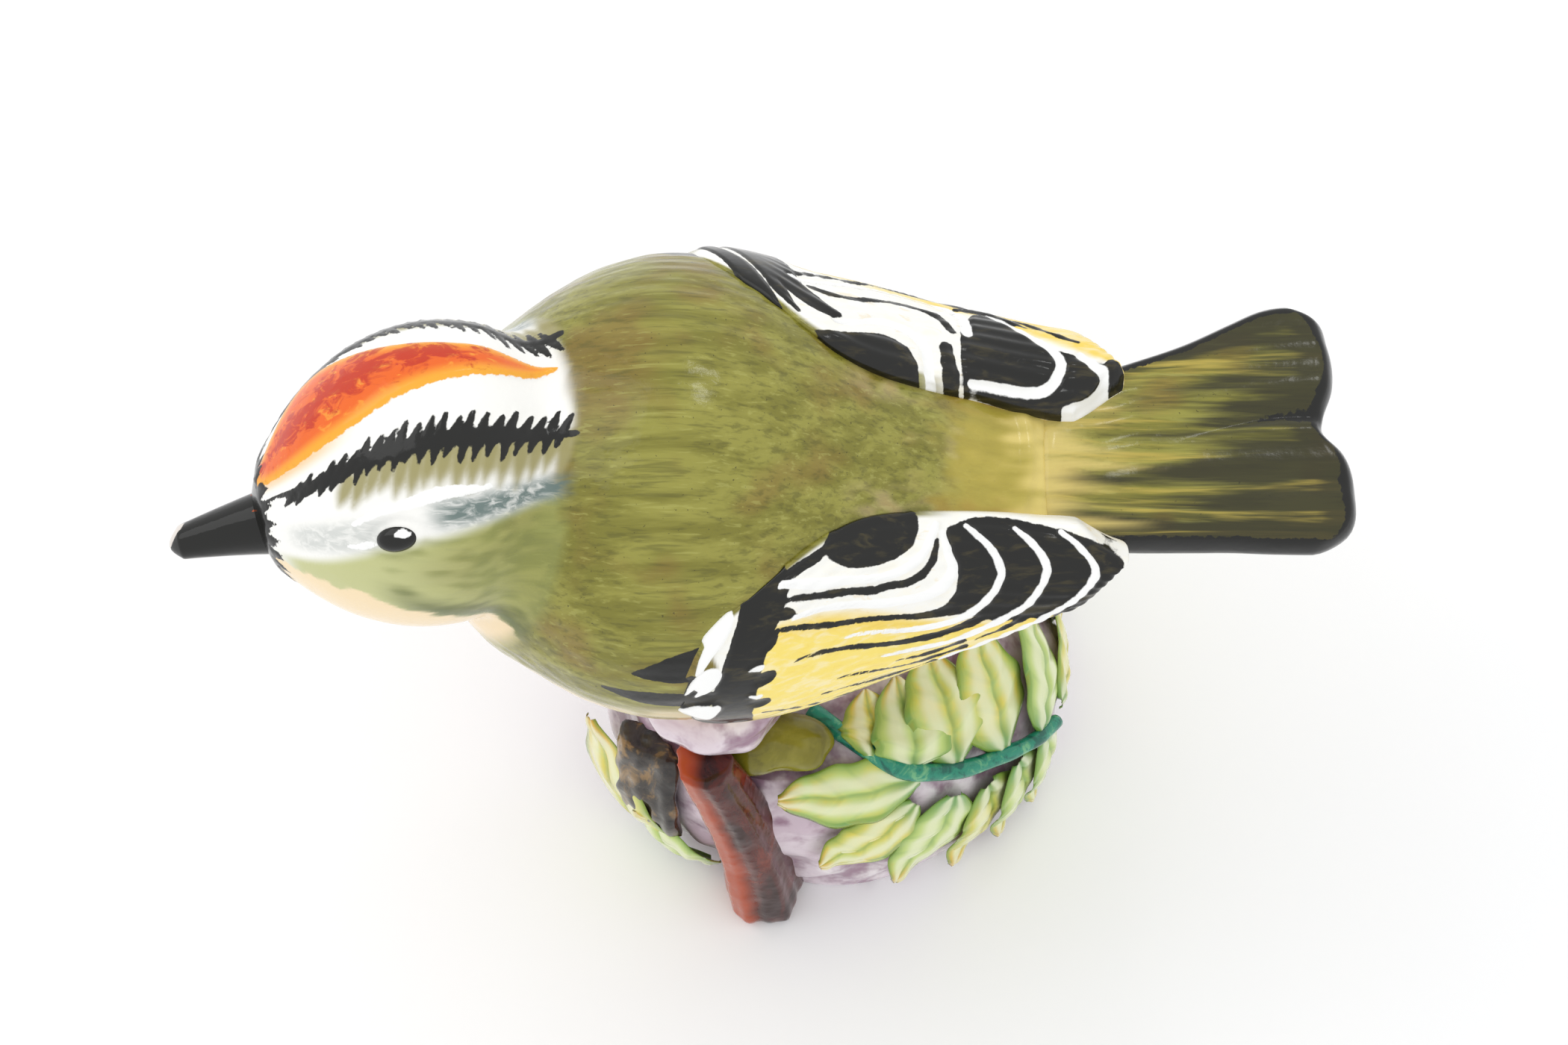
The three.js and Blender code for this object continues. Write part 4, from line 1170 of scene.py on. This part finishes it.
NEAR_BLACK = [
    [(-5.6, 0.2, 0.2), (-3.8, 0.5, 0.5), (-2.0, 0.6, 0.5)],
    [(-4.8, 1.3, 0.15), (-1.5, 2.3, 0.3), (1.8, 2.95, 0.35), (3.2, 3.0, 0.35), (5.3, 3.0, 0.35),
     (6.7, 2.3, 0.3), (7.1, 1.3, 0.2)],
    [(-5.4, 1.7, 0.2), (-4.5, 2.0, 0.45), (-3.6, 2.4, 0.1)],
    [(-5.5, 2.4, 0.18), (-0.7, 3.8, 0.26), (4.3, 4.6, 0.25), (7.4, 4.9, 0.45), (9.2, 4.6, 1.0),
     (10.2, 3.8, 1.5), (10.2, 2.9, 1.5), (9.3, 1.9, 1.1), (8.3, 1.1, 0.6)],
    [(11.9, 1.5, 0.6), (13.2, 2.4, 1.3), (13.8, 3.6, 1.4), (12.9, 4.8, 1.0), (11.9, 5.5, 0.6),
     (9.4, 6.2, 0.45), (5.7, 6.2, 0.35), (1.9, 5.6, 0.3), (-3.7, 4.6, 0.16)],
    [(15.5, 1.7, 0.6), (16.9, 2.9, 1.1), (17.2, 4.6, 1.15), (16.0, 6.2, 0.8), (14.2, 7.2, 0.5),
     (12.2, 7.8, 0.3), (10.2, 7.9, 0.1)],
    [(18.8, 2.0, 0.6), (20.3, 3.6, 1.1), (20.8, 6.0, 1.2), (19.6, 8.2, 0.9), (17.1, 9.4, 0.6),
     (13.6, 9.7, 0.5), (9.5, 9.2, 0.4), (5.8, 9.2, 0.32), (2.0, 8.6, 0.22), (-1.6, 7.9, 0.14)],
    [(9.3, 7.6, 0.3), (6.5, 7.7, 0.26), (4.0, 7.3, 0.14)],
    [(9.5, 8.4, 0.3), (5.0, 8.2, 0.26), (-0.5, 7.0, 0.14)],
    [(16.5, 10.6, 0.32), (10.0, 10.5, 0.34), (5.8, 10.5, 0.32), (1.9, 10.0, 0.26), (-2.0, 9.2, 0.2),
     (-6.3, 8.0, 0.14)],
    [(-6.4, -0.4, 1.3), (-6.2, 0.9, 2.0), (-7.2, 2.4, 1.9), (-8.1, 4.2, 1.9), (-8.4, 6.2, 1.7),
     (-8.4, 8.2, 1.4), (-8.0, 9.8, 1.0)],
    [(-7.2, 2.7, 0.6), (-5.9, 2.9, 0.75), (-5.4, 3.0, 0.2)],
    [(-7.4, 4.6, 0.6), (-6.0, 4.9, 0.75), (-5.5, 5.0, 0.2)],
    [(-7.4, 6.6, 0.5), (-6.3, 6.8, 0.65), (-5.8, 6.9, 0.2)],
    [(-12.7, 2.6, 0.6), (-12.1, 3.3, 1.0), (-11.5, 4.8, 1.0)],
    [(-13.4, 4.4, 0.8), (-12.2, 4.9, 1.2), (-10.6, 5.2, 0.8), (-9.0, 5.2, 0.7)],
    [(-13.8, 8.4, 1.0), (-12.2, 9.4, 1.0), (-8.0, 9.6, 0.8)],
]
NEAR_WHITE = [
    [(-4.8, 0.6, 0.25), (-1.7, 1.75, 0.4), (1.8, 2.45, 0.32), (4.3, 2.45, 0.36), (5.9, 1.9, 0.36),
     (6.6, 1.2, 0.34), (7.0, 0.6, 0.28)],
    [(-3.9, 2.4, 0.2), (1.8, 3.5, 0.36), (5.5, 3.8, 0.42), (7.3, 3.55, 0.5), (8.3, 2.8, 0.42),
     (7.9, 1.9, 0.34), (7.5, 1.0, 0.26)],
    [(9.4, 0.7, 0.22), (11.2, 1.8, 0.3), (12.0, 2.8, 0.34), (12.1, 3.6, 0.3), (11.3, 4.6, 0.34),
     (10.0, 5.3, 0.36), (8.0, 5.6, 0.34), (4.5, 5.3, 0.25), (0.0, 4.6, 0.15)],
    [(13.2, 0.8, 0.2), (14.8, 1.9, 0.32), (15.7, 3.4, 0.34), (15.1, 5.0, 0.3), (13.6, 6.3, 0.34),
     (9.6, 7.0, 0.36), (7.3, 7.0, 0.3), (3.0, 6.5, 0.2)],
    [(16.8, 0.9, 0.2), (18.4, 2.1, 0.3), (19.5, 4.2, 0.34), (18.9, 6.2, 0.3), (17.0, 7.8, 0.34),
     (13.0, 8.7, 0.34), (10.0, 8.8, 0.3), (7.5, 8.8, 0.2)],
    [(-10.3, -1.0, 0.9), (-9.5, 0.4, 1.1), (-10.4, 1.3, 0.7), (-10.9, 2.0, 0.4)],
    [(-11.9, 3.9, 0.3), (-11.0, 2.9, 0.8), (-10.2, 3.6, 0.9), (-11.0, 4.3, 0.4)],
    [(-12.6, 7.4, 0.3), (-11.6, 7.0, 0.8), (-10.4, 7.2, 1.0), (-11.0, 8.0, 0.6)],
    [(-7.2, 3.9, 0.12), (-6.4, 4.0, 0.3)],
    [(-7.2, 5.9, 0.12), (-6.5, 6.0, 0.3)],
]
NEAR_OVAL = [(-1.9, 0.5), (0, 1.6), (1.8, 2.0), (4, 1.9), (5.5, 1.2), (5.4, 0.1), (3, -0.6), (0, -0.6)]
NEAR_REAR = [(7.8, 0.8), (10, 0.3), (13, 0.3), (16, 0.6), (19, 1.2), (21.2, 3.0), (21.7, 6), (20.2, 8.4),
             (17.2, 8.9), (14.5, 7.7), (11.5, 6.4), (9.4, 5.2), (9.0, 3.4), (8.6, 1.8)]
FAR_BLACK = [
    [(-9.8, 6.4, 1.2), (-8.4, 4.2, 1.2), (-6.8, 2.4, 1.0), (-5.0, 0.9, 0.8)],
    [(-7.8, 8.5, 1.4), (-6.8, 5.4, 1.9), (-5.6, 3.4, 1.9), (-4.2, 2.0, 1.5), (-1.8, 1.6, 0.9),
     (-0.4, 1.6, 0.3)],
    [(-6.0, 2.0, 0.9), (-4.8, 0.9, 0.7), (-3.6, 0.5, 0.3)],
    [(-10.4, 2.6, 1.2), (-8.6, 1.4, 1.4), (-6.8, 0.2, 1.3), (-5.0, -0.6, 1.0)],
    [(-13.4, 3.0, 0.6), (-11.5, 6.5, 0.9), (-10.6, 8.5, 0.7)],
    [(-3.8, 3.4, 0.3), (-1.3, 4.6, 0.35), (4.6, 6.2, 0.4), (8.6, 6.6, 0.4), (11.8, 6.3, 0.35),
     (15.0, 6.6, 0.3), (18.5, 6.4, 0.25)],
    [(-2.6, 2.6, 0.3), (-0.1, 2.9, 0.3), (4.0, 3.9, 0.32), (7.1, 4.0, 0.35), (8.6, 2.9, 0.3)],
    [(9.0, 5.6, 0.3), (10.6, 6.0, 0.6), (12.4, 6.0, 0.4), (14.5, 5.9, 0.2)],
    [(8.0, 1.8, 0.5), (8.4, 0.2, 0.7)],
    [(20.9, 4.6, 0.5), (21.6, 2.6, 0.6), (21.4, 0.6, 0.5)],
    [(9.0, -0.5, 0.45), (15.0, -0.5, 0.5), (20.0, -0.3, 0.5)],
]
FAR_WHITE = [
    [(-4.1, 2.7, 0.3), (-1.0, 4.0, 0.36), (2.0, 4.9, 0.42), (6.8, 5.6, 0.45), (9.2, 4.8, 0.45),
     (9.8, 3.0, 0.4)],
    [(-0.6, 1.2, 0.25), (3.4, 2.3, 0.4), (6.2, 1.7, 0.45), (6.8, 0.0, 0.4)],
    [(11.6, 5.8, 0.35), (14.6, 5.0, 0.4), (16.8, 4.0, 0.42), (16.9, 2.4, 0.42), (15.2, 0.7, 0.4),
     (10.0, 0.2, 0.3)],
    [(18.6, 4.8, 0.3), (20.2, 3.6, 0.35), (20.5, 2.2, 0.38), (19.2, 0.6, 0.36), (17.4, 0.0, 0.3)],
    [(-10.6, 5.6, 0.5), (-9.4, 6.6, 0.9)],
]
FAR_PATCHES = [
    [(-2.3, 0.1), (0, 0.8), (3.2, 1.5), (5.4, 0.9), (5.7, -0.5), (3, -1.0), (0, -0.7)],
    [(9.2, 3.0), (10.6, 5.4), (13.5, 5.4), (16.4, 4.6), (19.4, 4.6), (21.4, 3.8), (21.6, 1.0), (19, -0.6),
     (14, -0.8), (10, -0.6), (9.2, 1)],
]


def paint_wing(wing, side, across, depth):
    """Paints and moulds the feathers. across and depth are as in wing_point, for each point."""
    points = coordinates(wing)
    x = points[:, 0]
    breadth = wing_breadth(x)
    canvas = np.stack([x, across * breadth], axis=-1)
    outside = depth > -0.35
    blacks, whites = (NEAR_BLACK, NEAR_WHITE) if side > 0 else (FAR_BLACK, FAR_WHITE)
    ovals = [NEAR_OVAL, NEAR_REAR] if side > 0 else FAR_PATCHES
    black = np.maximum.reduce([feather(canvas, marks) for marks in blacks]
                              + [feather_patch(canvas, outline) for outline in ovals])
    white = np.maximum.reduce([feather(canvas, marks) for marks in whites])
    black, white = np.where(outside, black, -2.0), np.where(outside, white, -2.0)
    twelfths = across * 12
    wash = np.tile(np.array(glaze(250, 249, 243)), (len(points), 1))
    if side > 0:
        panel = step(3.6, 4.4, twelfths - 0.25 * (x - 2)) * step(11.5, 10.2, twelfths) * step(-8.6, -7.6, x)
    else:
        panel = step(4.8, 5.8, twelfths)
    wash = blend(wash, glaze(250, 226, 116), panel)
    wash = blend(wash, glaze(242, 204, 84), panel * step(5.2, 4.4, twelfths - 0.25 * (x - 2)) * 0.5)
    wash = blend(wash, glaze(248, 226, 184), step(0.86, 0.95, across))
    wash = blend(wash, glaze(245, 232, 196), step(-0.2, -0.6, depth))
    edge = noisy(points, 0.5, 7.0) * 1.5
    olive = step(-9.4, -10.2, x + edge - 0.9 * side + 0.9)
    olive = np.maximum(olive, step(0.03, 0.012, across) * step(9, 5, x))
    for name, values in (("black", black), ("white", white), ("wash", wash), ("olive", olive)):
        store(wing, name, values)
    relief = 0.26 * step(-0.25, 0.3, white) - 0.12 * step(0.0, 0.5, black)
    relief += 0.05 * np.sin(canvas[:, 1] * 5 + 0.4 * np.sin(x * 0.7)) * step(-7, -3, x)
    relief *= step(-0.35, 0.1, depth)
    set_coordinates(wing, points + point_normals(wing) * relief[:, None])


def paint_tail(tail):
    points = coordinates(tail)
    x, y = points[:, 0], points[:, 1]
    u = (y - TAIL_MIDDLE(x)) / TAIL_HALF_WIDTH(x)
    end = TAIL_END(np.clip(u, -1, 1)) - x
    rim = np.minimum(end, (1 - np.abs(u)) * TAIL_HALF_WIDTH(x) * 1.3)
    notch = np.where(x > 30, 0.5 - np.abs(u - 0.03) * 9 - 0.1 * (37 - x), -9.0)
    store(tail, "black", np.maximum(1.1 - rim + 0.25 * np.sin(u * 9), notch))
    dark = 0.2 + 0.6 * step(20, 36, x) + 0.5 * step(3.6, 0.8, rim) + 0.22 * step(0.1, -0.5, u)
    store(tail, "dark", dark + 0.12 * np.sin(u * 17))
    streaky = noisy(points * (0.08, 1.4, 0.5), 0.9, 4.0)
    store(tail, "cream", step(23, 15.6, x + 6 * streaky) * 0.85)
    groove = np.exp(-((u - 0.03) / 0.06) ** 2) * step(22, 33, x)
    quills = 0.08 * np.cos(u * 19 + 0.6 * np.sin(x * 0.4)) * step(16, 22, x)
    lip = 0.22 * step(1.5, 0.7, rim) * step(20, 24, x)
    relief = (quills + lip - 0.55 * groove) * step(0.2, 0.8, point_normals(tail)[:, 2])
    points[:, 2] += relief
    set_coordinates(tail, points)


# ---------- setting pieces in place ----------

def settle(piece, material, slot, *nodes):
    """Gives a finished piece its glaze and its place among the CAD nodes."""
    piece.data.materials.clear()
    piece.data.materials.append(material)
    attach(piece, "root")
    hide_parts(*nodes)


def make_skin():
    necks = [blob((-22.0, 0.2, BELLY + 19.0), (8.0, 10.9, 10.0)),
             blob((-21.0, 0.4, BELLY + 22.5), (6.5, 7.6, 7.4))]
    skin = fused("bird_skin", [body_form(), head_form(), *necks], shape().skin_grain / MM, 3)
    x = coordinates(skin)[:, 0]
    relax(skin, 140, step(-28, -25, x) * step(-15, -18, x))
    paint_skin(skin)
    settle(skin, skin_glaze(), "olive_body_glaze", "bird_body", "bird_head")


def make_wings():
    material = wing_glaze()
    for side, word in ((1, "left"), (-1, "right")):
        model, across, depth = wing_form(side)
        wing = mesh_object(word + "_folded_wing", model)
        paint_wing(wing, side, across, depth)
        settle(wing, material, "wing_glaze", word + "_wing")


def make_tail():
    tail = mesh_object("tail_feathers", tail_form())
    paint_tail(tail)
    settle(tail, tail_glaze(), "tail_glaze", "tail")


def make_beak():
    beak = mesh_object("painted_beak", beak_form())
    points = coordinates(beak)
    local = unturned(points, head_frame())
    root = -shape().head_length / MM / 2 + 1.6
    flat = local[:, :2]
    hairs = np.full(len(points), -9.0)
    for index in range(7):
        y = -1.8 + 0.6 * index
        reach = 0.7 + 0.4 * math.sin(index * 2.1)
        hairs = np.maximum(hairs, stroke(flat, [(root + 0.4, y * 0.8, 0.26), (root - reach, y, 0.08)], 2))
    store(beak, "hair", np.where(local[:, 2] > -1.2, hairs, -9.0))
    tip = root - 8.3
    # A painted highlight: a white patch on the upper side of the beak's tip.
    tip_highlight = stroke(flat, [(tip - 0.2, -0.5, 0.5), (tip + 0.6, -0.1, 0.6), (tip + 1.3, 0.2, 0.25)], 2)
    store(beak, "white", np.where(local[:, 2] > -2.2, tip_highlight, -9.0))
    settle(beak, black_glaze("Beak glaze", glaze(224, 216, 208)), "black_glaze", "beak")


def make_eyes():
    material = black_glaze("Eye glaze", bpy.context.scene.songbird_colours.white)
    for side, word in ((1, "left"), (-1, "right")):
        eye = mesh_object(word + "_eye_bead", eye_form(side))
        canvas = head_canvas(coordinates(eye))
        folded = np.stack([canvas[:, 0], canvas[:, 1] * side], axis=-1)
        # The white spot is a painted highlight on the eye.
        spot = stroke(folded, [(-1.5, 11.5, 0.14), (-1.0, 11.6, 0.3), (-0.5, 11.75, 0.13)], 3)
        store(eye, "white", spot)
        store(eye, "hair", np.full(len(folded), -9.0))
        settle(eye, material, "black_glaze", word + "_eye")


def make_legs():
    material = toned_glaze("Leg glaze", glaze(52, 40, 30), glaze(96, 76, 56), glaze(126, 104, 76), 0.8)
    for side, word in ((1, "left"), (-1, "right")):
        leg = mesh_object(word + "_shank", leg_form(side))
        settle(leg, material, "leg_glaze", word + "_leg")
        foot = fused(word + "_toes", foot_form(side), 0.16, 3)
        settle(foot, material, "leg_glaze", word + "_foot")


def make_rock():
    rock = fused("lilac_rock", [rock_form(), perch_form()], 0.42, 4)
    points = coordinates(rock)
    normals = point_normals(rock)
    slow, fast = noisy(points, 0.12, 3.0), noisy(points, 0.34, 9.0)
    above_foot = step(0.2, 2.5, points[:, 2]) * step(PERCH_TOP - 0.2, PERCH_TOP - 2.0, points[:, 2])
    relief = (1.1 * slow + 0.5 * fast - 0.4) * above_foot
    # Painted shade: highest where the relief pushes the rock in, and along the top edge of the base where the
    # perch rises.
    ledge = np.exp(-((points[:, 2] - BASE_TOP - 0.5 + fast) / 1.6) ** 2)
    store(rock, "hollow_shade", np.clip(0.35 - slow * 0.7 - fast * 0.4 + 0.45 * ledge, 0, 1))
    set_coordinates(rock, points + normals * relief[:, None])
    settle(rock, rock_glaze(), "lilac_glaze", "base", "rock_perch")


def make_branch():
    branch = fused("knotty_branch", [branch_form()], 0.26, 2)
    points = coordinates(branch)
    share = points[:, 2] / BRANCH_LEAN.z
    axis = BRANCH_FOOT.x + BRANCH_LEAN.x * share + BRANCH_BOW * np.sin(math.pi * np.clip(share, 0, 1))
    store(branch, "lit", np.clip(0.3 - (points[:, 0] - axis) / 3.4 + 0.12 * noisy(points, 0.5), 0, 1))
    grain = noisy(points * (1, 1, 0.3), 0.8) * step(0.1, 1.5, points[:, 2])
    set_coordinates(branch, points + point_normals(branch) * (0.12 * grain)[:, None])
    settle(branch, branch_glaze(), "branch_glaze", "branch")


def make_bark_and_cushion():
    bark = fused("bark_slab_skin", [bark_form()], 0.24, 2)
    points = coordinates(bark)
    grooves = noisy(points * (1, 1, 0.35), 0.9, 5.0)
    set_coordinates(bark, points + point_normals(bark) * (0.35 * grooves)[:, None])
    tones = toned_glaze("Bark glaze", glaze(34, 30, 28), glaze(58, 52, 46), glaze(138, 108, 64), 0.5,
                        (1, 1, 0.4))
    settle(bark, tones, "bark_glaze", "bark_slab")
    cushion = mesh_object("olive_cushion", hollow_form())
    points = coordinates(cushion)
    set_coordinates(cushion, points + point_normals(cushion) * (0.1 * noisy(points, 0.5))[:, None])
    tones = toned_glaze("Moss glaze", glaze(104, 98, 22), glaze(124, 118, 30), glaze(140, 134, 46), 0.25)
    settle(cushion, tones, "moss_glaze", "moss_cushion")


def make_leaves():
    stalk = mesh_object("leaf_stalk_skin", stalk_form())
    tones = toned_glaze("Stalk glaze", glaze(20, 96, 82), glaze(38, 138, 112), glaze(112, 178, 130), 0.6)
    settle(stalk, tones, "stalk_glaze", "leaf_stalk")
    material = leaf_glaze()
    for index, name in enumerate(LEAVES):
        model, along, across = leaf_form(name)
        leaf = mesh_object(name + "_blade", model)
        tint = np.full(len(along), 0.25 + 0.3 * math.sin(index * 2.4))
        store(leaf, "leaf_place", np.stack([along, across, tint], axis=-1))
        settle(leaf, material, "leaf_glaze", name)


LOOK_AT = (-4.6, 0, 44)
LAMPS = (("softbox", (-0.30, 0.16, 0.46), 0.4, 0.85), ("window", (0.14, 0.3, 0.5), 0.06, 0.15))
SENSOR_WIDTH = 36


def make_stage():
    stage = bpy.context.scene.songbird_stage
    scene = bpy.context.scene
    model = bmesh.new()
    bmesh.ops.create_grid(model, x_segments=1, y_segments=1, size=900)
    floor = mesh_object("studio_floor", model)
    material = new_material("Matt white floor")
    shader = material.node_tree.nodes["Principled BSDF"]
    shader.inputs["Base Color"].default_value = (0.985, 0.985, 0.99, 1)
    shader.inputs["Roughness"].default_value = 0.9
    shader.inputs["Specular IOR Level"].default_value = 0.1
    floor.data.materials.append(material)
    world = bpy.data.worlds.new("studio")
    world.use_nodes = True
    world.node_tree.nodes["Background"].inputs[0].default_value = (0.985, 0.992, 1, 1)
    world.node_tree.nodes["Background"].inputs[1].default_value = stage.daylight
    scene.world = world
    scene.view_settings.view_transform = "Standard"
    look_at = Vector(LOOK_AT) * MM
    for name, place, size, share in LAMPS:
        data = bpy.data.lights.new(name, "AREA")
        data.energy = stage.softbox * share
        data.size = size
        lamp = bpy.data.objects.new(name, data)
        lamp.location = place
        lamp.rotation_euler = (look_at - lamp.location).to_track_quat("-Z", "Y").to_euler()
        scene.collection.objects.link(lamp)
    data = bpy.data.cameras.new("camera")
    data.lens = stage.lens
    data.sensor_width = SENSOR_WIDTH
    camera = bpy.data.objects.new("camera", data)
    aim = Vector((0, -math.cos(stage.elevation), math.sin(stage.elevation)))
    camera.location = look_at + aim * stage.distance
    camera.rotation_euler = (look_at - camera.location).to_track_quat("-Z", "Y").to_euler()
    scene.collection.objects.link(camera)
    scene.camera = camera


class SONGBIRD_OT_skin(bpy.types.Operator):
    """Models and paints the head and body as one skin"""
    bl_idname = "songbird.skin"
    bl_label = "Head and body"

    def execute(self, context):
        make_skin()
        return {"FINISHED"}


class SONGBIRD_OT_wings(bpy.types.Operator):
    """Models and paints both folded wings"""
    bl_idname = "songbird.wings"
    bl_label = "Wings"

    def execute(self, context):
        make_wings()
        return {"FINISHED"}


class SONGBIRD_OT_tail(bpy.types.Operator):
    """Models and paints the notched tail"""
    bl_idname = "songbird.tail"
    bl_label = "Tail"

    def execute(self, context):
        make_tail()
        return {"FINISHED"}


class SONGBIRD_OT_beak(bpy.types.Operator):
    """Models and paints the beak"""
    bl_idname = "songbird.beak"
    bl_label = "Beak"

    def execute(self, context):
        make_beak()
        return {"FINISHED"}


class SONGBIRD_OT_eyes(bpy.types.Operator):
    """Models and paints both eyes"""
    bl_idname = "songbird.eyes"
    bl_label = "Eyes"

    def execute(self, context):
        make_eyes()
        return {"FINISHED"}


class SONGBIRD_OT_legs(bpy.types.Operator):
    """Models both legs with their toes"""
    bl_idname = "songbird.legs"
    bl_label = "Legs and feet"

    def execute(self, context):
        make_legs()
        return {"FINISHED"}


class SONGBIRD_OT_rock(bpy.types.Operator):
    """Models the lilac rock that the bird stands on"""
    bl_idname = "songbird.rock"
    bl_label = "Rock"

    def execute(self, context):
        make_rock()
        return {"FINISHED"}


class SONGBIRD_OT_branch(bpy.types.Operator):
    """Models the ribbed branch at the front"""
    bl_idname = "songbird.branch"
    bl_label = "Branch"

    def execute(self, context):
        make_branch()
        return {"FINISHED"}


class SONGBIRD_OT_bark(bpy.types.Operator):
    """Models the slab of bark and the olive cushion"""
    bl_idname = "songbird.bark"
    bl_label = "Bark and cushion"

    def execute(self, context):
        make_bark_and_cushion()
        return {"FINISHED"}


class SONGBIRD_OT_leaves(bpy.types.Operator):
    """Models the teal stalk and every leaf"""
    bl_idname = "songbird.leaves"
    bl_label = "Stalk and leaves"

    def execute(self, context):
        make_leaves()
        return {"FINISHED"}


class SONGBIRD_OT_stage(bpy.types.Operator):
    """Adds the floor, the soft light and the camera"""
    bl_idname = "songbird.stage"
    bl_label = "Stage"

    def execute(self, context):
        make_stage()
        return {"FINISHED"}


STEPS = (SONGBIRD_OT_skin, SONGBIRD_OT_wings, SONGBIRD_OT_tail, SONGBIRD_OT_beak, SONGBIRD_OT_eyes,
         SONGBIRD_OT_legs, SONGBIRD_OT_rock, SONGBIRD_OT_branch, SONGBIRD_OT_bark, SONGBIRD_OT_leaves,
         SONGBIRD_OT_stage)


class SONGBIRD_PT_panel(bpy.types.Panel):
    bl_label = "Porcelain songbird"
    bl_idname = "SONGBIRD_PT_panel"
    bl_space_type = "VIEW_3D"
    bl_region_type = "UI"
    bl_category = "Songbird"

    def draw(self, context):
        for group in (context.scene.songbird_shape, context.scene.songbird_colours,
                      context.scene.songbird_stage):
            box = self.layout.box()
            for name in group.bl_rna.properties.keys():
                if name not in ("rna_type", "name"):
                    box.prop(group, name)
        for operator in STEPS:
            self.layout.operator(operator.bl_idname)


CLASSES = (SongbirdShape, SongbirdColours, SongbirdStage, *STEPS, SONGBIRD_PT_panel)


def register():
    for entry in CLASSES:
        bpy.utils.register_class(entry)
    bpy.types.Scene.songbird_shape = PointerProperty(type=SongbirdShape)
    bpy.types.Scene.songbird_colours = PointerProperty(type=SongbirdColours)
    bpy.types.Scene.songbird_stage = PointerProperty(type=SongbirdStage)


def unregister():
    del bpy.types.Scene.songbird_stage
    del bpy.types.Scene.songbird_colours
    del bpy.types.Scene.songbird_shape
    for entry in reversed(CLASSES):
        bpy.utils.unregister_class(entry)


def main():
    register()
    for operator in STEPS:
        getattr(bpy.ops.songbird, operator.bl_idname.split(".")[1])()


if __name__ == "__main__":
    main()
